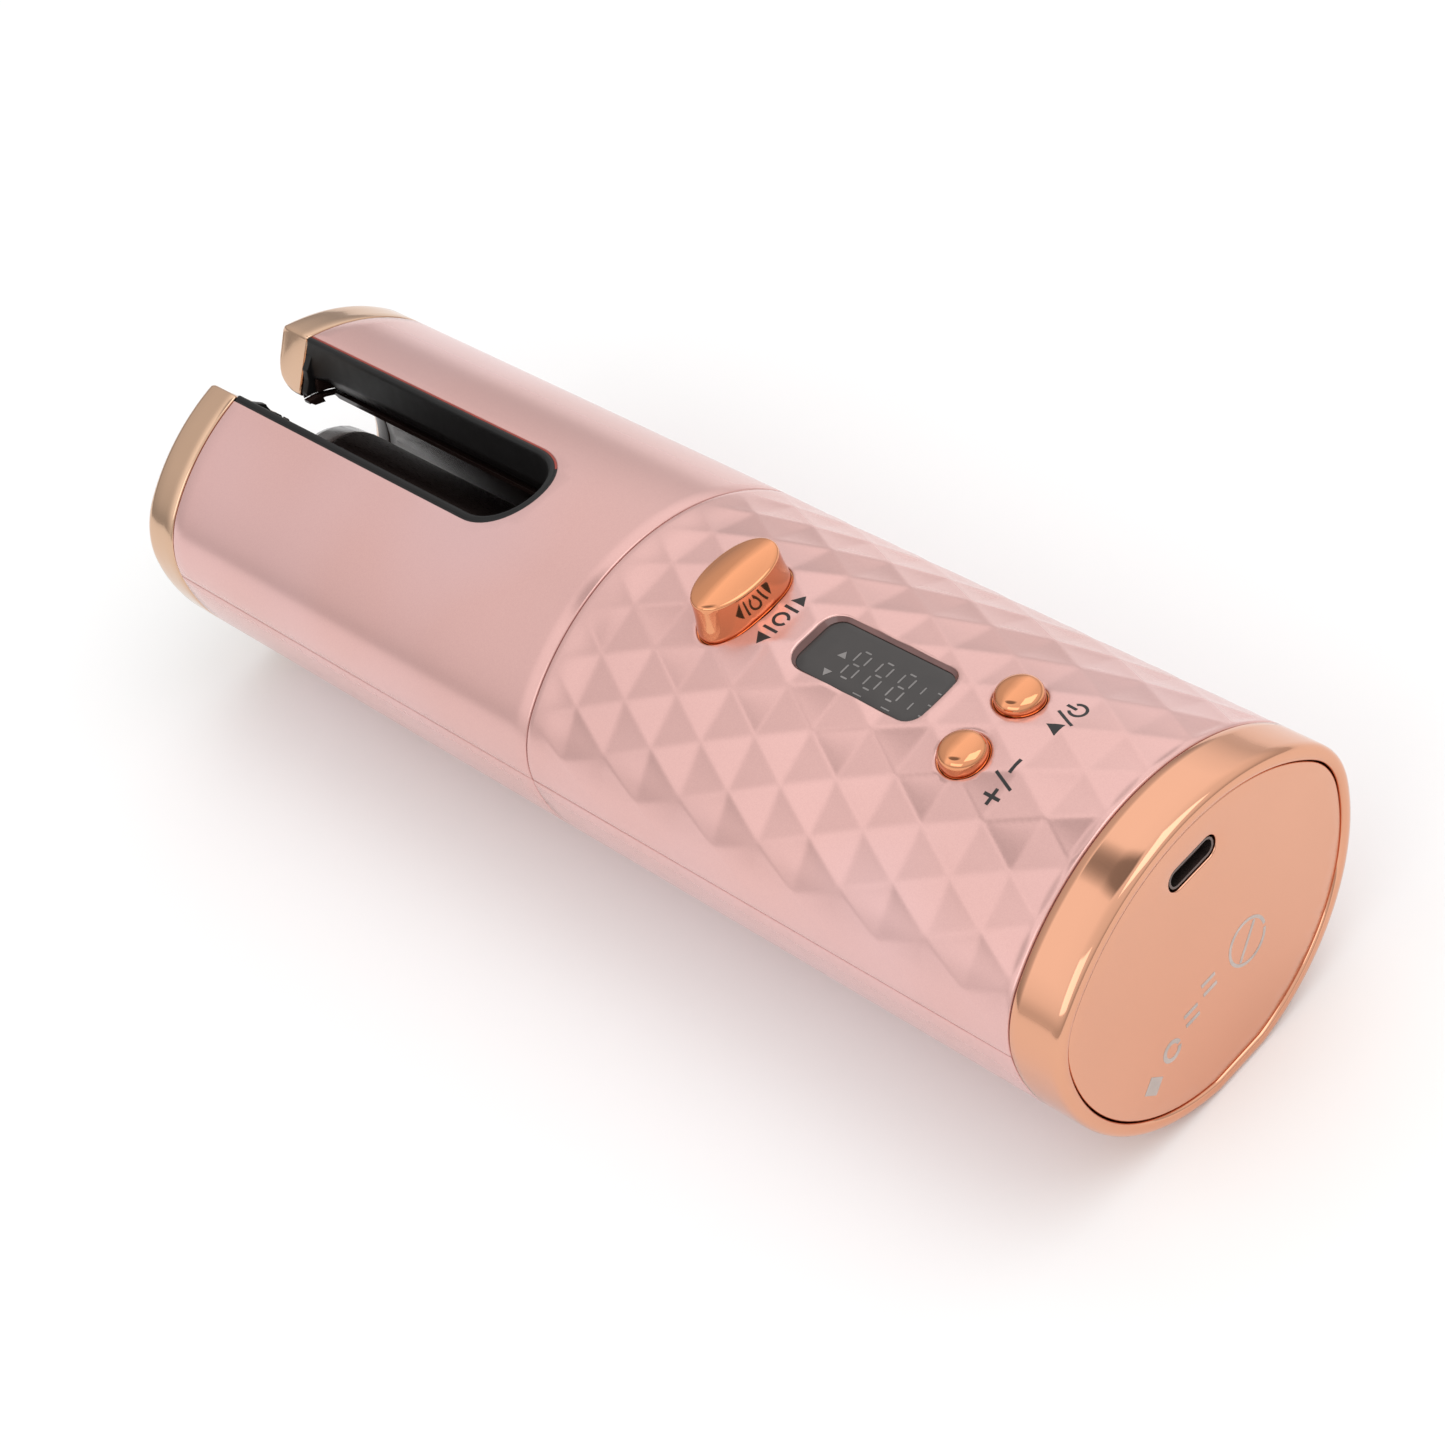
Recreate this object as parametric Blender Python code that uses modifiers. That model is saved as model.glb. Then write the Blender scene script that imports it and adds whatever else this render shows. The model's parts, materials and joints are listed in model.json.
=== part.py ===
"""Cordless automatic hair curler, lying on its back.

The oval body runs along X: the open tip is at -X, the charging end at +X. The controls face +Z.
The scene is in metres. Dimensions are written in millimetres, and the helpers scale them by MM.
A station is a distance along X, measured from the tip.
"""

import math

import bmesh
import bpy
from mathutils import Matrix, Vector

MM = 0.001

# Overall size (mm)
LENGTH = 205.0
TIP_X = -LENGTH / 2
TOP_RADIUS = 38.4
TOP_CENTRE_Z = 16.05
SIDE_RADIUS = 15.8
SIDE_CENTRE_Y = 16.2
SIDE_CENTRE_Z = 31.8
BOTTOM_RADIUS = 32.0
BOTTOM_CENTRE_Z = 31.6
PARTING_Z = 31.6
TOP_STEPS = 7
SIDE_STEPS = 4
BOTTOM_STEPS = 10

# Stations along X, measured from the tip (mm)
TIP_RING_END = 7.3
HEAD_END = 98.0
HANDLE_END = 196.0
JOINT_GAP = 0.3

# Hair slot (mm)
SLOT_HALF_WIDTH = 9.2
SLOT_ROUND_CENTRE = 66.6
SLOT_FLOOR_Z = 42.2

# Inside of the slot's liner: (half width, height)
LINER_PASSAGE = [(8.3, 40.0), (7.9, 43.2), (6.6, 47.4), (7.6, 53.0), (7.6, 62.0)]

# Behind the far prong (y, z): the liner's arm, web and rib, and the rotor's claw
ARM_OUTLINE = [(8.8, 53.2), (4.7, 49.3), (4.7, 48.9), (4.3, 47.4), (3.0, 45.5), (2.95, 45.0)]
ARM_OUTLINE += [(4.9, 44.55), (5.0, 45.6), (5.5, 46.8), (6.6, 47.4), (8.8, 47.0)]
WEB_OUTLINE = [(3.0, 45.5), (2.75, 44.35), (4.7, 43.85), (6.5, 43.15), (7.7, 42.55), (8.7, 41.95)]
WEB_OUTLINE += [(8.7, 48.0), (6.0, 47.8), (4.4, 47.3)]
RIB_OUTLINE = [(4.8, 44.6), (6.5, 43.97), (7.7, 43.4), (8.7, 42.85), (8.7, 48.0), (6.0, 47.8), (5.2, 46.2)]
CLAW_OUTLINE = [(2.72, 44.2), (2.8, 43.7), (3.3, 43.0), (5.35, 42.2), (5.2, 43.9), (3.9, 44.3)]
PRONG_HALF_GAP = 2.6
PRONG_LOW_Z = 44.5

# Curling chamber, all round one axis parallel to X (mm)
AXIS_Z = 29.1
BARREL_RADIUS = 10.0
ROTOR_INNER_RADIUS = 14.6
ROTOR_MOUTH_RADIUS = 15.05
ROTOR_OUTER_RADIUS = 15.6
CHAMBER_INNER_RADIUS = 16.1
CHAMBER_OUTER_RADIUS = 17.3
MOUTH_RADIUS = 15.5

# Bore of the tip ring: (station, radius)
FUNNEL = [(-2.0, 22.0), (0.0, 19.4), (0.9, 17.6), (2.4, 16.4), (5.3, MOUTH_RADIUS)]

# Rotor drive (mm)
GEAR_MODULE = 1.0
RING_TEETH = 26
PINION_TEETH = 11
DRIVE_OFFSET = GEAR_MODULE * (RING_TEETH + PINION_TEETH) / 2 + 0.15
MOTOR_RADIUS = 9.0
SCREW_CENTRES = {
    "base": [(0.0, AXIS_Z + 10.5), (0.0, AXIS_Z - 10.5)],
    "gearbox": [(DRIVE_OFFSET, AXIS_Z + 6.2), (DRIVE_OFFSET, AXIS_Z - 6.2)],
}

# Shells (mm)
WALL = 2.4
FACET_ROW = 8.17
FACET_PITCH = 8.9
FACET_COLUMNS = 4

# Controls (mm)
START_X = 121.5
START_HALF_LENGTH = 5.2
START_HALF_WIDTH = 9.1
START_TOP_Z = 60.7
DISPLAY_X = 148.0
DISPLAY_HALF_LENGTH = 12.8
DISPLAY_HALF_WIDTH = 5.9
DISPLAY_TOP_Z = 53.2
ROUND_BUTTON_X = 170.6
ROUND_BUTTON_Y = 6.1
ROUND_BUTTON_RADIUS = 4.0
ROUND_BUTTONS = (("power", ROUND_BUTTON_Y), ("temperature", -ROUND_BUTTON_Y))
BOARD_SCREWS = [(131.0, -13.5), (131.0, 13.5), (183.0, -13.5), (183.0, 13.5)]
BOARD_Z = 44.2
BOARD_TOP_Z = 45.8

# Charging end (mm)
USB_Z = 45.2
USB_HALF_WIDTH = 4.75
USB_HALF_HEIGHT = 1.7
END_PLATE_INSET = 2.6

COLOURS = {
    "pearl_pink": ((0.68, 0.43, 0.40), 0.35, 0.0),
    "champagne_gold": ((0.66, 0.40, 0.23), 0.2, 1.0),
    "rose_gold": ((0.78, 0.40, 0.24), 0.18, 1.0),
    "liner_black": ((0.02, 0.018, 0.018), 0.4, 0.0),
    "chamber_brown": ((0.03, 0.018, 0.015), 0.25, 0.0),
    "barrel_coating": ((0.035, 0.02, 0.018), 0.3, 0.3),
    "smoked_lens": ((0.05, 0.04, 0.04), 0.1, 0.0),
    "heat_block": ((0.62, 0.62, 0.64), 0.35, 1.0),
    "steel": ((0.55, 0.55, 0.57), 0.3, 1.0),
    "brass": ((0.75, 0.55, 0.25), 0.35, 1.0),
    "board_green": ((0.02, 0.16, 0.07), 0.5, 0.0),
    "cell_blue": ((0.05, 0.18, 0.45), 0.4, 0.0),
    "white_nylon": ((0.75, 0.74, 0.70), 0.5, 0.0),
    "black_nylon": ((0.03, 0.03, 0.03), 0.55, 0.0),
    "ceramic": ((0.78, 0.76, 0.72), 0.6, 0.0),
}


def clear_scene():
    for obj in list(bpy.data.objects):
        bpy.data.objects.remove(obj, do_unlink=True)


def new_collection(name, hidden=False):
    collection = bpy.data.collections.new(name)
    bpy.context.scene.collection.children.link(collection)
    collection.hide_render = hidden
    return collection


def material(name):
    found = bpy.data.materials.get(name)
    if found:
        return found
    colour, roughness, metallic = COLOURS[name]
    made = bpy.data.materials.new(name)
    made.use_nodes = True
    shader = made.node_tree.nodes["Principled BSDF"]
    shader.inputs["Base Color"].default_value = (*colour, 1.0)
    shader.inputs["Roughness"].default_value = roughness
    shader.inputs["Metallic"].default_value = metallic
    return made


def place(obj, collection, material_name=None):
    for old in list(obj.users_collection):
        old.objects.unlink(obj)
    collection.objects.link(obj)
    if material_name:
        obj.data.materials.append(material(material_name))
    return obj


def station(distance_from_tip):
    """World x, in mm, of a distance measured from the tip."""
    return TIP_X + distance_from_tip


# ---------------------------------------------------------------- outlines


def arc(centre, radius, start, stop, steps):
    """Points on an arc, with angles in degrees from +Z towards +Y."""
    points = []
    for i in range(steps + 1):
        angle = math.radians(start + (stop - start) * i / steps)
        points.append((centre[0] + radius * math.sin(angle), centre[1] + radius * math.cos(angle)))
    return points


TOP_SPAN = math.degrees(math.atan2(SIDE_CENTRE_Y, SIDE_CENTRE_Z - TOP_CENTRE_Z))
SIDE_SPAN = math.degrees(math.atan2(SIDE_CENTRE_Y, SIDE_CENTRE_Z - BOTTOM_CENTRE_Z))


def half_section(inset):
    """Right half of the body's section, top to bottom, moved inwards by inset."""
    points = arc((0, TOP_CENTRE_Z), TOP_RADIUS - inset, 0, TOP_SPAN, TOP_STEPS)
    points += arc((SIDE_CENTRE_Y, SIDE_CENTRE_Z), SIDE_RADIUS - inset, TOP_SPAN, SIDE_SPAN, SIDE_STEPS)[1:]
    bottom = arc((0, BOTTOM_CENTRE_Z), BOTTOM_RADIUS - inset, SIDE_SPAN, 180, BOTTOM_STEPS)[1:]
    floor = inset
    kept = [point for point in bottom if point[1] > floor + 0.05]
    flat_half = math.sqrt((BOTTOM_RADIUS - inset) ** 2 - (BOTTOM_CENTRE_Z - floor) ** 2)
    return points + kept + [(flat_half, floor)]


def section(inset):
    right = half_section(inset)
    left = [(-y, z) for y, z in reversed(right[1:])]
    return right + left


def clip(points, level, above):
    """A closed outline cut at a level."""
    kept = []
    for i, (y0, z0) in enumerate(points):
        y1, z1 = points[(i + 1) % len(points)]
        inside0 = (z0 >= level) == above
        inside1 = (z1 >= level) == above
        if inside0:
            kept.append((y0, z0))
        if inside0 != inside1:
            share = (level - z0) / (z1 - z0)
            kept.append((y0 + (y1 - y0) * share, level))
    return kept


def circle(centre_y, centre_z, radius, steps=32):
    return arc((centre_y, centre_z), radius, 0, 360, steps)[:-1]


def ellipse(half_x, half_y, steps=32):
    angles = [2 * math.pi * i / steps for i in range(steps)]
    return [(half_x * math.cos(a), half_y * math.sin(a)) for a in angles]


def rounded_rectangle(half_a, half_b, corner, steps=4):
    points = []
    for quarter, (sign_a, sign_b) in enumerate(((1, 1), (-1, 1), (-1, -1), (1, -1))):
        for i in range(steps + 1):
            angle = math.pi / 2 * (quarter + i / steps)
            a = sign_a * (half_a - corner) + corner * math.cos(angle)
            b = sign_b * (half_b - corner) + corner * math.sin(angle)
            points.append((a, b))
    return points


def slot_outline(half_width, start):
    """Plan outline (x, y) of the slot: open at the tip end, round at the other."""
    end = station(SLOT_ROUND_CENTRE)
    points = [(station(start), -half_width), (end, -half_width)]
    for i in range(1, 16):
        angle = math.pi * (-0.5 + i / 16)
        points.append((end + half_width * math.cos(angle), half_width * math.sin(angle)))
    return points + [(end, half_width), (station(start), half_width)]


def gear_outline(teeth, module):
    """Trapezoidal teeth round a circle, with a tooth towards +Y.

    An odd wheel then has a gap towards -Y, where the tooth of its mate lies.
    """
    pitch = teeth * module / 2
    root = pitch - 1.2 * module
    tip = pitch + 0.85 * module
    points = []
    for tooth in range(teeth):
        for offset, radius in ((-0.30, root), (-0.10, tip), (0.10, tip), (0.30, root)):
            angle = 2 * math.pi * (tooth + offset) / teeth
            points.append((radius * math.cos(angle), radius * math.sin(angle)))
    return points


# ---------------------------------------------------------------- solids


def mesh_from_curve(curve_object, name):
    """A welded mesh object that replaces a curve object."""
    bpy.context.view_layer.update()
    graph = bpy.context.evaluated_depsgraph_get()
    mesh = bpy.data.meshes.new_from_object(curve_object.evaluated_get(graph))
    mesh.name = name
    work = bmesh.new()
    work.from_mesh(mesh)
    bmesh.ops.remove_doubles(work, verts=work.verts, dist=0.000001)
    bmesh.ops.recalc_face_normals(work, faces=work.faces)
    work.to_mesh(mesh)
    work.free()
    obj = bpy.data.objects.new(name, mesh)
    obj.matrix_world = curve_object.matrix_world.copy()
    bpy.data.objects.remove(curve_object, do_unlink=True)
    return obj


def extruded(name, outlines, thickness, matrix):
    """Flat outlines (mm) extruded by a thickness; later outlines are holes in the first."""
    curve = bpy.data.curves.new(name + "_outline", "CURVE")
    curve.dimensions = "2D"
    curve.fill_mode = "BOTH"
    curve.extrude = thickness / 2 * MM
    for outline in outlines:
        spline = curve.splines.new("POLY")
        spline.points.add(len(outline) - 1)
        for point, (a, b) in zip(spline.points, outline):
            point.co = (a * MM, b * MM, 0.0, 1.0)
        spline.use_cyclic_u = True
    carrier = bpy.data.objects.new(name + "_outline", curve)
    bpy.context.scene.collection.objects.link(carrier)
    carrier.matrix_world = matrix
    return mesh_from_curve(carrier, name)


def along_x(name, outlines, start, end, collection, material_name=None):
    """Section outlines (y, z) extruded along X between two stations."""
    middle = station((start + end) / 2) * MM
    turn = Matrix(((0, 0, 1, middle), (1, 0, 0, 0), (0, 1, 0, 0), (0, 0, 0, 1)))
    return place(extruded(name, outlines, end - start, turn), collection, material_name)


def along_z(name, outlines, low, high, collection, material_name=None, centre=(0.0, 0.0)):
    """Plan outlines (x, y) extruded along Z between two heights."""
    turn = Matrix.Translation(Vector((centre[0], centre[1], (low + high) / 2)) * MM)
    return place(extruded(name, outlines, high - low, turn), collection, material_name)


def box(name, x_span, y_span, z_span, collection, material_name=None, bevel=0.0):
    """A block between two stations, two widths and two heights."""
    bpy.ops.mesh.primitive_cube_add(size=1.0)
    obj = bpy.context.object
    obj.name = name
    obj.data.name = name
    spans = ((station(x_span[0]), station(x_span[1])), y_span, z_span)
    obj.location = [(low + high) / 2 * MM for low, high in spans]
    sizes = [(high - low) * MM for low, high in spans]
    obj.data.transform(Matrix.Diagonal((*sizes, 1.0)))
    if bevel:
        rounding = obj.modifiers.new("rounded_edges", "BEVEL")
        rounding.width = bevel * MM
        rounding.segments = 2
    return place(obj, collection, material_name)


def turned(name, profile, collection, material_name=None, centre=(0.0, AXIS_Z), steps=32):
    """A profile of (station, radius) points turned about an axis parallel to X, outer side first.

    The profile runs from the tip end towards the charging end along its outer side.
    """
    mesh = bpy.data.meshes.new(name)
    points = [(radius * MM, 0.0, -station(along) * MM) for along, radius in profile]
    closed = all(radius > 0 for _, radius in profile)
    edges = [(i, i + 1) for i in range(len(points) - 1)]
    if closed:
        edges.append((len(points) - 1, 0))
    mesh.from_pydata(points, edges, [])
    obj = bpy.data.objects.new(name, mesh)
    screw = obj.modifiers.new("turn", "SCREW")
    screw.axis = "Z"
    screw.steps = steps
    screw.render_steps = steps
    screw.use_merge_vertices = True
    screw.merge_threshold = 0.00001
    obj.matrix_world = Matrix(
        ((0, 0, -1, 0), (0, 1, 0, centre[0] * MM), (1, 0, 0, centre[1] * MM), (0, 0, 0, 1))
    )
    return place(obj, collection, material_name)


def cylinder(name, start, end, radius, centre, collection, material_name=None, steps=24):
    return turned(
        name,
        [(start, 0.0), (start, radius), (end, radius), (end, 0.0)],
        collection,
        material_name,
        centre,
        steps,
    )


def upright(name, profile, centre, collection, material_name=None, steps=24):
    """A profile of (radius, height) points turned about a vertical axis, running top to bottom."""
    mesh = bpy.data.meshes.new(name)
    mesh.from_pydata(
        [(radius * MM, 0.0, height * MM) for radius, height in profile],
        [(i, i + 1) for i in range(len(profile) - 1)],
        [],
    )
    obj = bpy.data.objects.new(name, mesh)
    obj.location = (station(centre[0]) * MM, centre[1] * MM, 0.0)
    screw = obj.modifiers.new("turn", "SCREW")
    screw.axis = "Z"
    screw.steps = steps
    screw.render_steps = steps
    screw.use_merge_vertices = True
    screw.merge_threshold = 0.00001
    return place(obj, collection, material_name)


def combine(obj, other, operation, solver="EXACT"):
    step = obj.modifiers.new(operation.lower() + "_" + other.name, "BOOLEAN")
    step.operation = operation
    step.object = other
    step.solver = solver


def cut(obj, *cutters, solver="EXACT"):
    for cutter in cutters:
        combine(obj, cutter, "DIFFERENCE", solver)


def joined(obj, *others):
    for other in others:
        combine(obj, other, "UNION")
    return obj


def smooth(obj):
    if obj.type == "MESH" and obj.data.polygons:
        obj.data.shade_smooth()
        obj.data.set_sharp_from_angle(angle=math.radians(35))


def chain(inset, above):
    """The open run of the section on one side of the parting, from end to end."""
    points = clip(section(inset), PARTING_Z, above)
    ends = [i for i, (_, z) in enumerate(points) if abs(z - PARTING_Z) < 1e-6]
    first = ends[-1] if above else ends[0]
    return points[first:] + points[:first]


def half_shell_outline(outer, inner, above):
    return chain(outer, above) + chain(inner, above)[::-1]


def surface_point(distance, inset=0.0):
    """Section point (y, z) at a distance along the surface from the top centre."""
    side = 1 if distance >= 0 else -1
    top_length = TOP_RADIUS * math.radians(TOP_SPAN)
    side_length = SIDE_RADIUS * math.radians(SIDE_SPAN - TOP_SPAN)
    run = abs(distance)
    if run <= top_length:
        centre, radius, angle = (0.0, TOP_CENTRE_Z), TOP_RADIUS, run / TOP_RADIUS
    elif run <= top_length + side_length:
        centre, radius = (SIDE_CENTRE_Y, SIDE_CENTRE_Z), SIDE_RADIUS
        angle = math.radians(TOP_SPAN) + (run - top_length) / SIDE_RADIUS
    else:
        centre, radius = (0.0, BOTTOM_CENTRE_Z), BOTTOM_RADIUS
        angle = math.radians(SIDE_SPAN) + (run - top_length - side_length) / BOTTOM_RADIUS
    reach = radius - inset
    return side * (centre[0] + reach * math.sin(angle)), centre[1] + reach * math.cos(angle)


PARTING_RUN = (
    TOP_RADIUS * math.radians(TOP_SPAN)
    + SIDE_RADIUS * math.radians(SIDE_SPAN - TOP_SPAN)
    + BOTTOM_RADIUS * math.radians(90.0 - SIDE_SPAN)
)


def facet_row(row):
    """Distances along the surface of one row's corners; alternate rows are half a pitch apart."""
    edge = FACET_COLUMNS * FACET_PITCH
    if row % 2:
        middle = [column * FACET_PITCH for column in range(-FACET_COLUMNS, FACET_COLUMNS + 1)]
    else:
        inner = [(column + 0.5) * FACET_PITCH for column in range(-FACET_COLUMNS, FACET_COLUMNS)]
        middle = [-edge] + inner + [edge]
    rim = [edge + (PARTING_RUN - edge) * share for share in (0.35, 0.7, 1.0)]
    return [-distance for distance in reversed(rim)] + middle + rim


def faceted_block(name, start, end, collection, material_name):
    """The handle's upper half as a solid, its outside a lattice of flat triangles."""
    work = bmesh.new()
    rows = []
    count = round((end - start) / FACET_ROW)
    for row in range(count + 1):
        x = station(start + (end - start) * row / count)
        corners = []
        for distance in facet_row(row):
            y, z = surface_point(distance)
            corners.append((distance, work.verts.new(Vector((x, y, z)) * MM)))
        rows.append(corners)
    for near, far in zip(rows, rows[1:]):
        zip_triangles(work, near, far)
        work.faces.new((near[0][1], far[0][1], far[-1][1], near[-1][1]))
    work.faces.new([vertex for _, vertex in rows[0]])
    work.faces.new([vertex for _, vertex in rows[-1]])
    bmesh.ops.recalc_face_normals(work, faces=work.faces)
    mesh = bpy.data.meshes.new(name)
    work.to_mesh(mesh)
    work.free()
    return place(bpy.data.objects.new(name, mesh), collection, material_name)


def zip_triangles(work, near, far):
    """Triangles between two rows of (distance, vertex), always advancing the row that lags."""
    i = j = 0
    while i < len(near) - 1 or j < len(far) - 1:
        near_lags = j == len(far) - 1 or (i < len(near) - 1 and near[i + 1][0] <= far[j + 1][0])
        if near_lags:
            work.faces.new((near[i][1], near[i + 1][1], far[j][1]))
            i += 1
        else:
            work.faces.new((near[i][1], far[j + 1][1], far[j][1]))
            j += 1


def shifted(points, centre):
    return [(a + centre[0], b + centre[1]) for a, b in points]


# ---------------------------------------------------------------- the head


def band_outside(name, start, end):
    """Cutter that trims a ring down to its spigot."""
    return along_x(name, [section(-2.0), section(2.7)], start, end, CUTTERS)


def tip_ring():
    """Polished ring at the tip, with the funnel of the mouth and the two prongs beside the slot."""
    obj = along_x("tip_ring", [section(0.0)], 0.0, 11.0, PARTS, "champagne_gold")
    bore = turned("mouth_bore", [(-2.0, 0.0), *FUNNEL, (12.0, MOUTH_RADIUS), (12.0, 0.0)], CUTTERS, steps=48)
    gap = along_x("prong_gap", [prong_gap_outline()], -2.0, TIP_RING_END + 0.1, CUTTERS)
    inside = along_x("tip_spigot_inside", [section(3.9)], TIP_RING_END, 12.0, CUTTERS)
    slot = box("tip_spigot_slot", (TIP_RING_END, 12.0), (-9.5, 9.5), (30.0, 60.0), CUTTERS)
    cut(obj, bore, gap, band_outside("tip_spigot_outside", TIP_RING_END, 12.0), inside, slot)
    return obj


def prong_gap_outline():
    """Section (y, z) of the gap between the prongs, narrowing inwards."""
    top_half = 8.2
    right = [(PRONG_HALF_GAP, 40.0), (PRONG_HALF_GAP, PRONG_LOW_Z), (top_half, 53.0), (top_half, 60.0)]
    return right + [(-y, z) for y, z in reversed(right)]


def head_shells():
    ends = (TIP_RING_END + JOINT_GAP, HEAD_END - JOINT_GAP / 2)
    front = along_x("head_front_shell", [half_shell_outline(0, WALL, True)], *ends, PARTS, "pearl_pink")
    back_outline = half_shell_outline(0, WALL, False)
    lowered = [(y, z - JOINT_GAP if z > PARTING_Z - 1e-6 else z) for y, z in back_outline]
    along_x("head_back_shell", [lowered], *ends, PARTS, "pearl_pink")
    opening = along_z("slot_opening", [slot_outline(SLOT_HALF_WIDTH, 0.0)], 30.0, 60.0, CUTTERS)
    cut(front, opening)


def slot_passage():
    """Cutter for the inside of the liner: level outlines of the slot, joined from bottom to top."""
    outlines = [slot_outline(half_width, 0.0) for half_width, _ in LINER_PASSAGE]
    size = len(outlines[0])
    points = []
    for outline, (_, height) in zip(outlines, LINER_PASSAGE):
        points += [(x * MM, y * MM, height * MM) for x, y in outline]
    faces = [list(range(size)), list(range(len(points) - size, len(points)))]
    for level in range(len(outlines) - 1):
        for i in range(size):
            low, following = level * size + i, level * size + (i + 1) % size
            faces.append([low, following, following + size, low + size])
    work = bmesh.new()
    corners = [work.verts.new(point) for point in points]
    for face in faces:
        work.faces.new([corners[i] for i in face])
    bmesh.ops.recalc_face_normals(work, faces=work.faces)
    mesh = bpy.data.meshes.new("slot_passage")
    work.to_mesh(mesh)
    work.free()
    return place(bpy.data.objects.new("slot_passage", mesh), CUTTERS)


LINER_PLATES = (("arm", ARM_OUTLINE, 1.3), ("web", WEB_OUTLINE, 0.4), ("rib", RIB_OUTLINE, 1.9))


def slot_liner():
    """Black U-shaped wall round the slot, with an arm, a thin web and a rib behind each prong."""
    start = TIP_RING_END + JOINT_GAP
    outline = slot_outline(SLOT_HALF_WIDTH - 0.3, start)
    obj = along_z("slot_liner", [outline], SLOT_FLOOR_Z, 60.0, PARTS, "liner_black")
    body = along_x("liner_envelope", [section(0.0)], 0.0, 90.0, CUTTERS)
    combine(obj, body, "INTERSECT")
    underside = cylinder("liner_underside", 0.0, 90.0, CHAMBER_INNER_RADIUS, (0.0, AXIS_Z), CUTTERS, steps=48)
    cut(obj, slot_passage(), underside)
    for side, sign in (("near", -1), ("far", 1)):
        for kind, shape, depth in LINER_PLATES:
            outline = [(sign * y, z) for y, z in shape]
            plate = along_x(f"liner_{kind}_{side}", [outline], start + 0.01, start + depth, CUTTERS)
            combine(obj, plate, "UNION")


def chamber_tube():
    """Fixed tube round the rotor, open along the slot, with a flange that locates it in the head."""
    profile = [
        (TIP_RING_END + JOINT_GAP, CHAMBER_OUTER_RADIUS),
        (79.0, CHAMBER_OUTER_RADIUS),
        (79.0, CHAMBER_INNER_RADIUS),
        (TIP_RING_END + JOINT_GAP, CHAMBER_INNER_RADIUS),
    ]
    obj = turned("chamber_tube", profile, PARTS, "chamber_brown")
    hole = circle(0.0, AXIS_Z, CHAMBER_INNER_RADIUS + 0.4, 32)
    flange = along_x("chamber_flange", [section(WALL + 0.35), hole], 77.9, 79.2, CUTTERS)
    opening = along_z("chamber_slot", [slot_outline(SLOT_HALF_WIDTH, 0.0)], AXIS_Z, 60.0, CUTTERS)
    cut(obj, opening)
    joined(obj, flange)


def barrel():
    """Heated barrel, its cap at the tip, its insulating base, and what heats and watches it."""
    profile = [(15.3, BARREL_RADIUS), (75.5, BARREL_RADIUS), (75.5, 8.8), (15.3, 8.8)]
    turned("heating_barrel", profile, PARTS, "barrel_coating")
    dome = [(7.5, 0.0), (7.7, 4.0), (8.3, 7.2), (9.4, 9.0), (11.0, 9.7), (15.0, 9.9)]
    plug = [(15.0, 8.5), (19.0, 8.5), (19.0, 0.0)]
    turned("barrel_cap", dome + plug, PARTS, "black_nylon")
    outside = [(68.0, 8.5), (75.5, 8.5), (75.5, 7.0), (85.0, 7.0), (85.0, 13.0), (86.3, 13.0)]
    holder = turned("barrel_base", [*outside, (86.3, 2.5), (68.0, 2.5)], PARTS, "white_nylon")
    cut(holder, *screw_holes("base", 84.0, 87.0), solver="MANIFOLD")
    box("ceramic_heater", (22.0, 64.0), (-6.0, 6.0), (AXIS_Z - 1.0, AXIS_Z + 1.0), PARTS, "ceramic")
    along_x("heater_clamp", [upper_clamp_outline()], 24.0, 62.0, PARTS, "heat_block")
    cylinder("temperature_sensor", 30.0, 36.0, 1.2, (0.0, 25.2), PARTS, "brass", 12)
    cylinder("thermal_fuse", 42.0, 54.0, 1.8, (0.0, 24.6), PARTS, "steel", 12)


def upper_clamp_outline():
    """Half-round aluminium block (y, z) that spreads the heat into the barrel."""
    radius = 8.5
    low = 1.3
    reach = math.degrees(math.acos(low / radius))
    return arc((0.0, AXIS_Z), radius, -reach, reach, 16)


def rotor():
    """Rotating sleeve that winds the hair: slotted, with a split front ring, two claws and a hub."""
    start = TIP_RING_END + 0.9
    ring_end = start + 1.4
    profile = [
        (start, ROTOR_OUTER_RADIUS),
        (77.4, ROTOR_OUTER_RADIUS),
        (77.4, 9.7),
        (84.4, 9.7),
        (84.4, 8.3),
        (76.0, 8.3),
        (76.0, ROTOR_INNER_RADIUS),
        (ring_end + 1.0, ROTOR_INNER_RADIUS),
        (ring_end + 0.2, ROTOR_MOUTH_RADIUS),
        (start, ROTOR_MOUTH_RADIUS),
    ]
    obj = turned("wrap_rotor", profile, PARTS, "chamber_brown")
    window = slot_outline(SLOT_HALF_WIDTH - 1.8, ring_end)
    slot = along_z("rotor_slot", [window], AXIS_Z, 60.0, CUTTERS)
    mouth = box("rotor_mouth", (0.0, ring_end + 1.0), (-2.4, 2.4), (AXIS_Z, 60.0), CUTTERS)
    cut(obj, slot, mouth)
    for side, sign in (("near", -1), ("far", 1)):
        hook = [(sign * y, z) for y, z in CLAW_OUTLINE]
        claw = along_x("claw_" + side, [hook], start + 0.05, ring_end - 0.05, CUTTERS)
        combine(obj, claw, "UNION")


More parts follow.
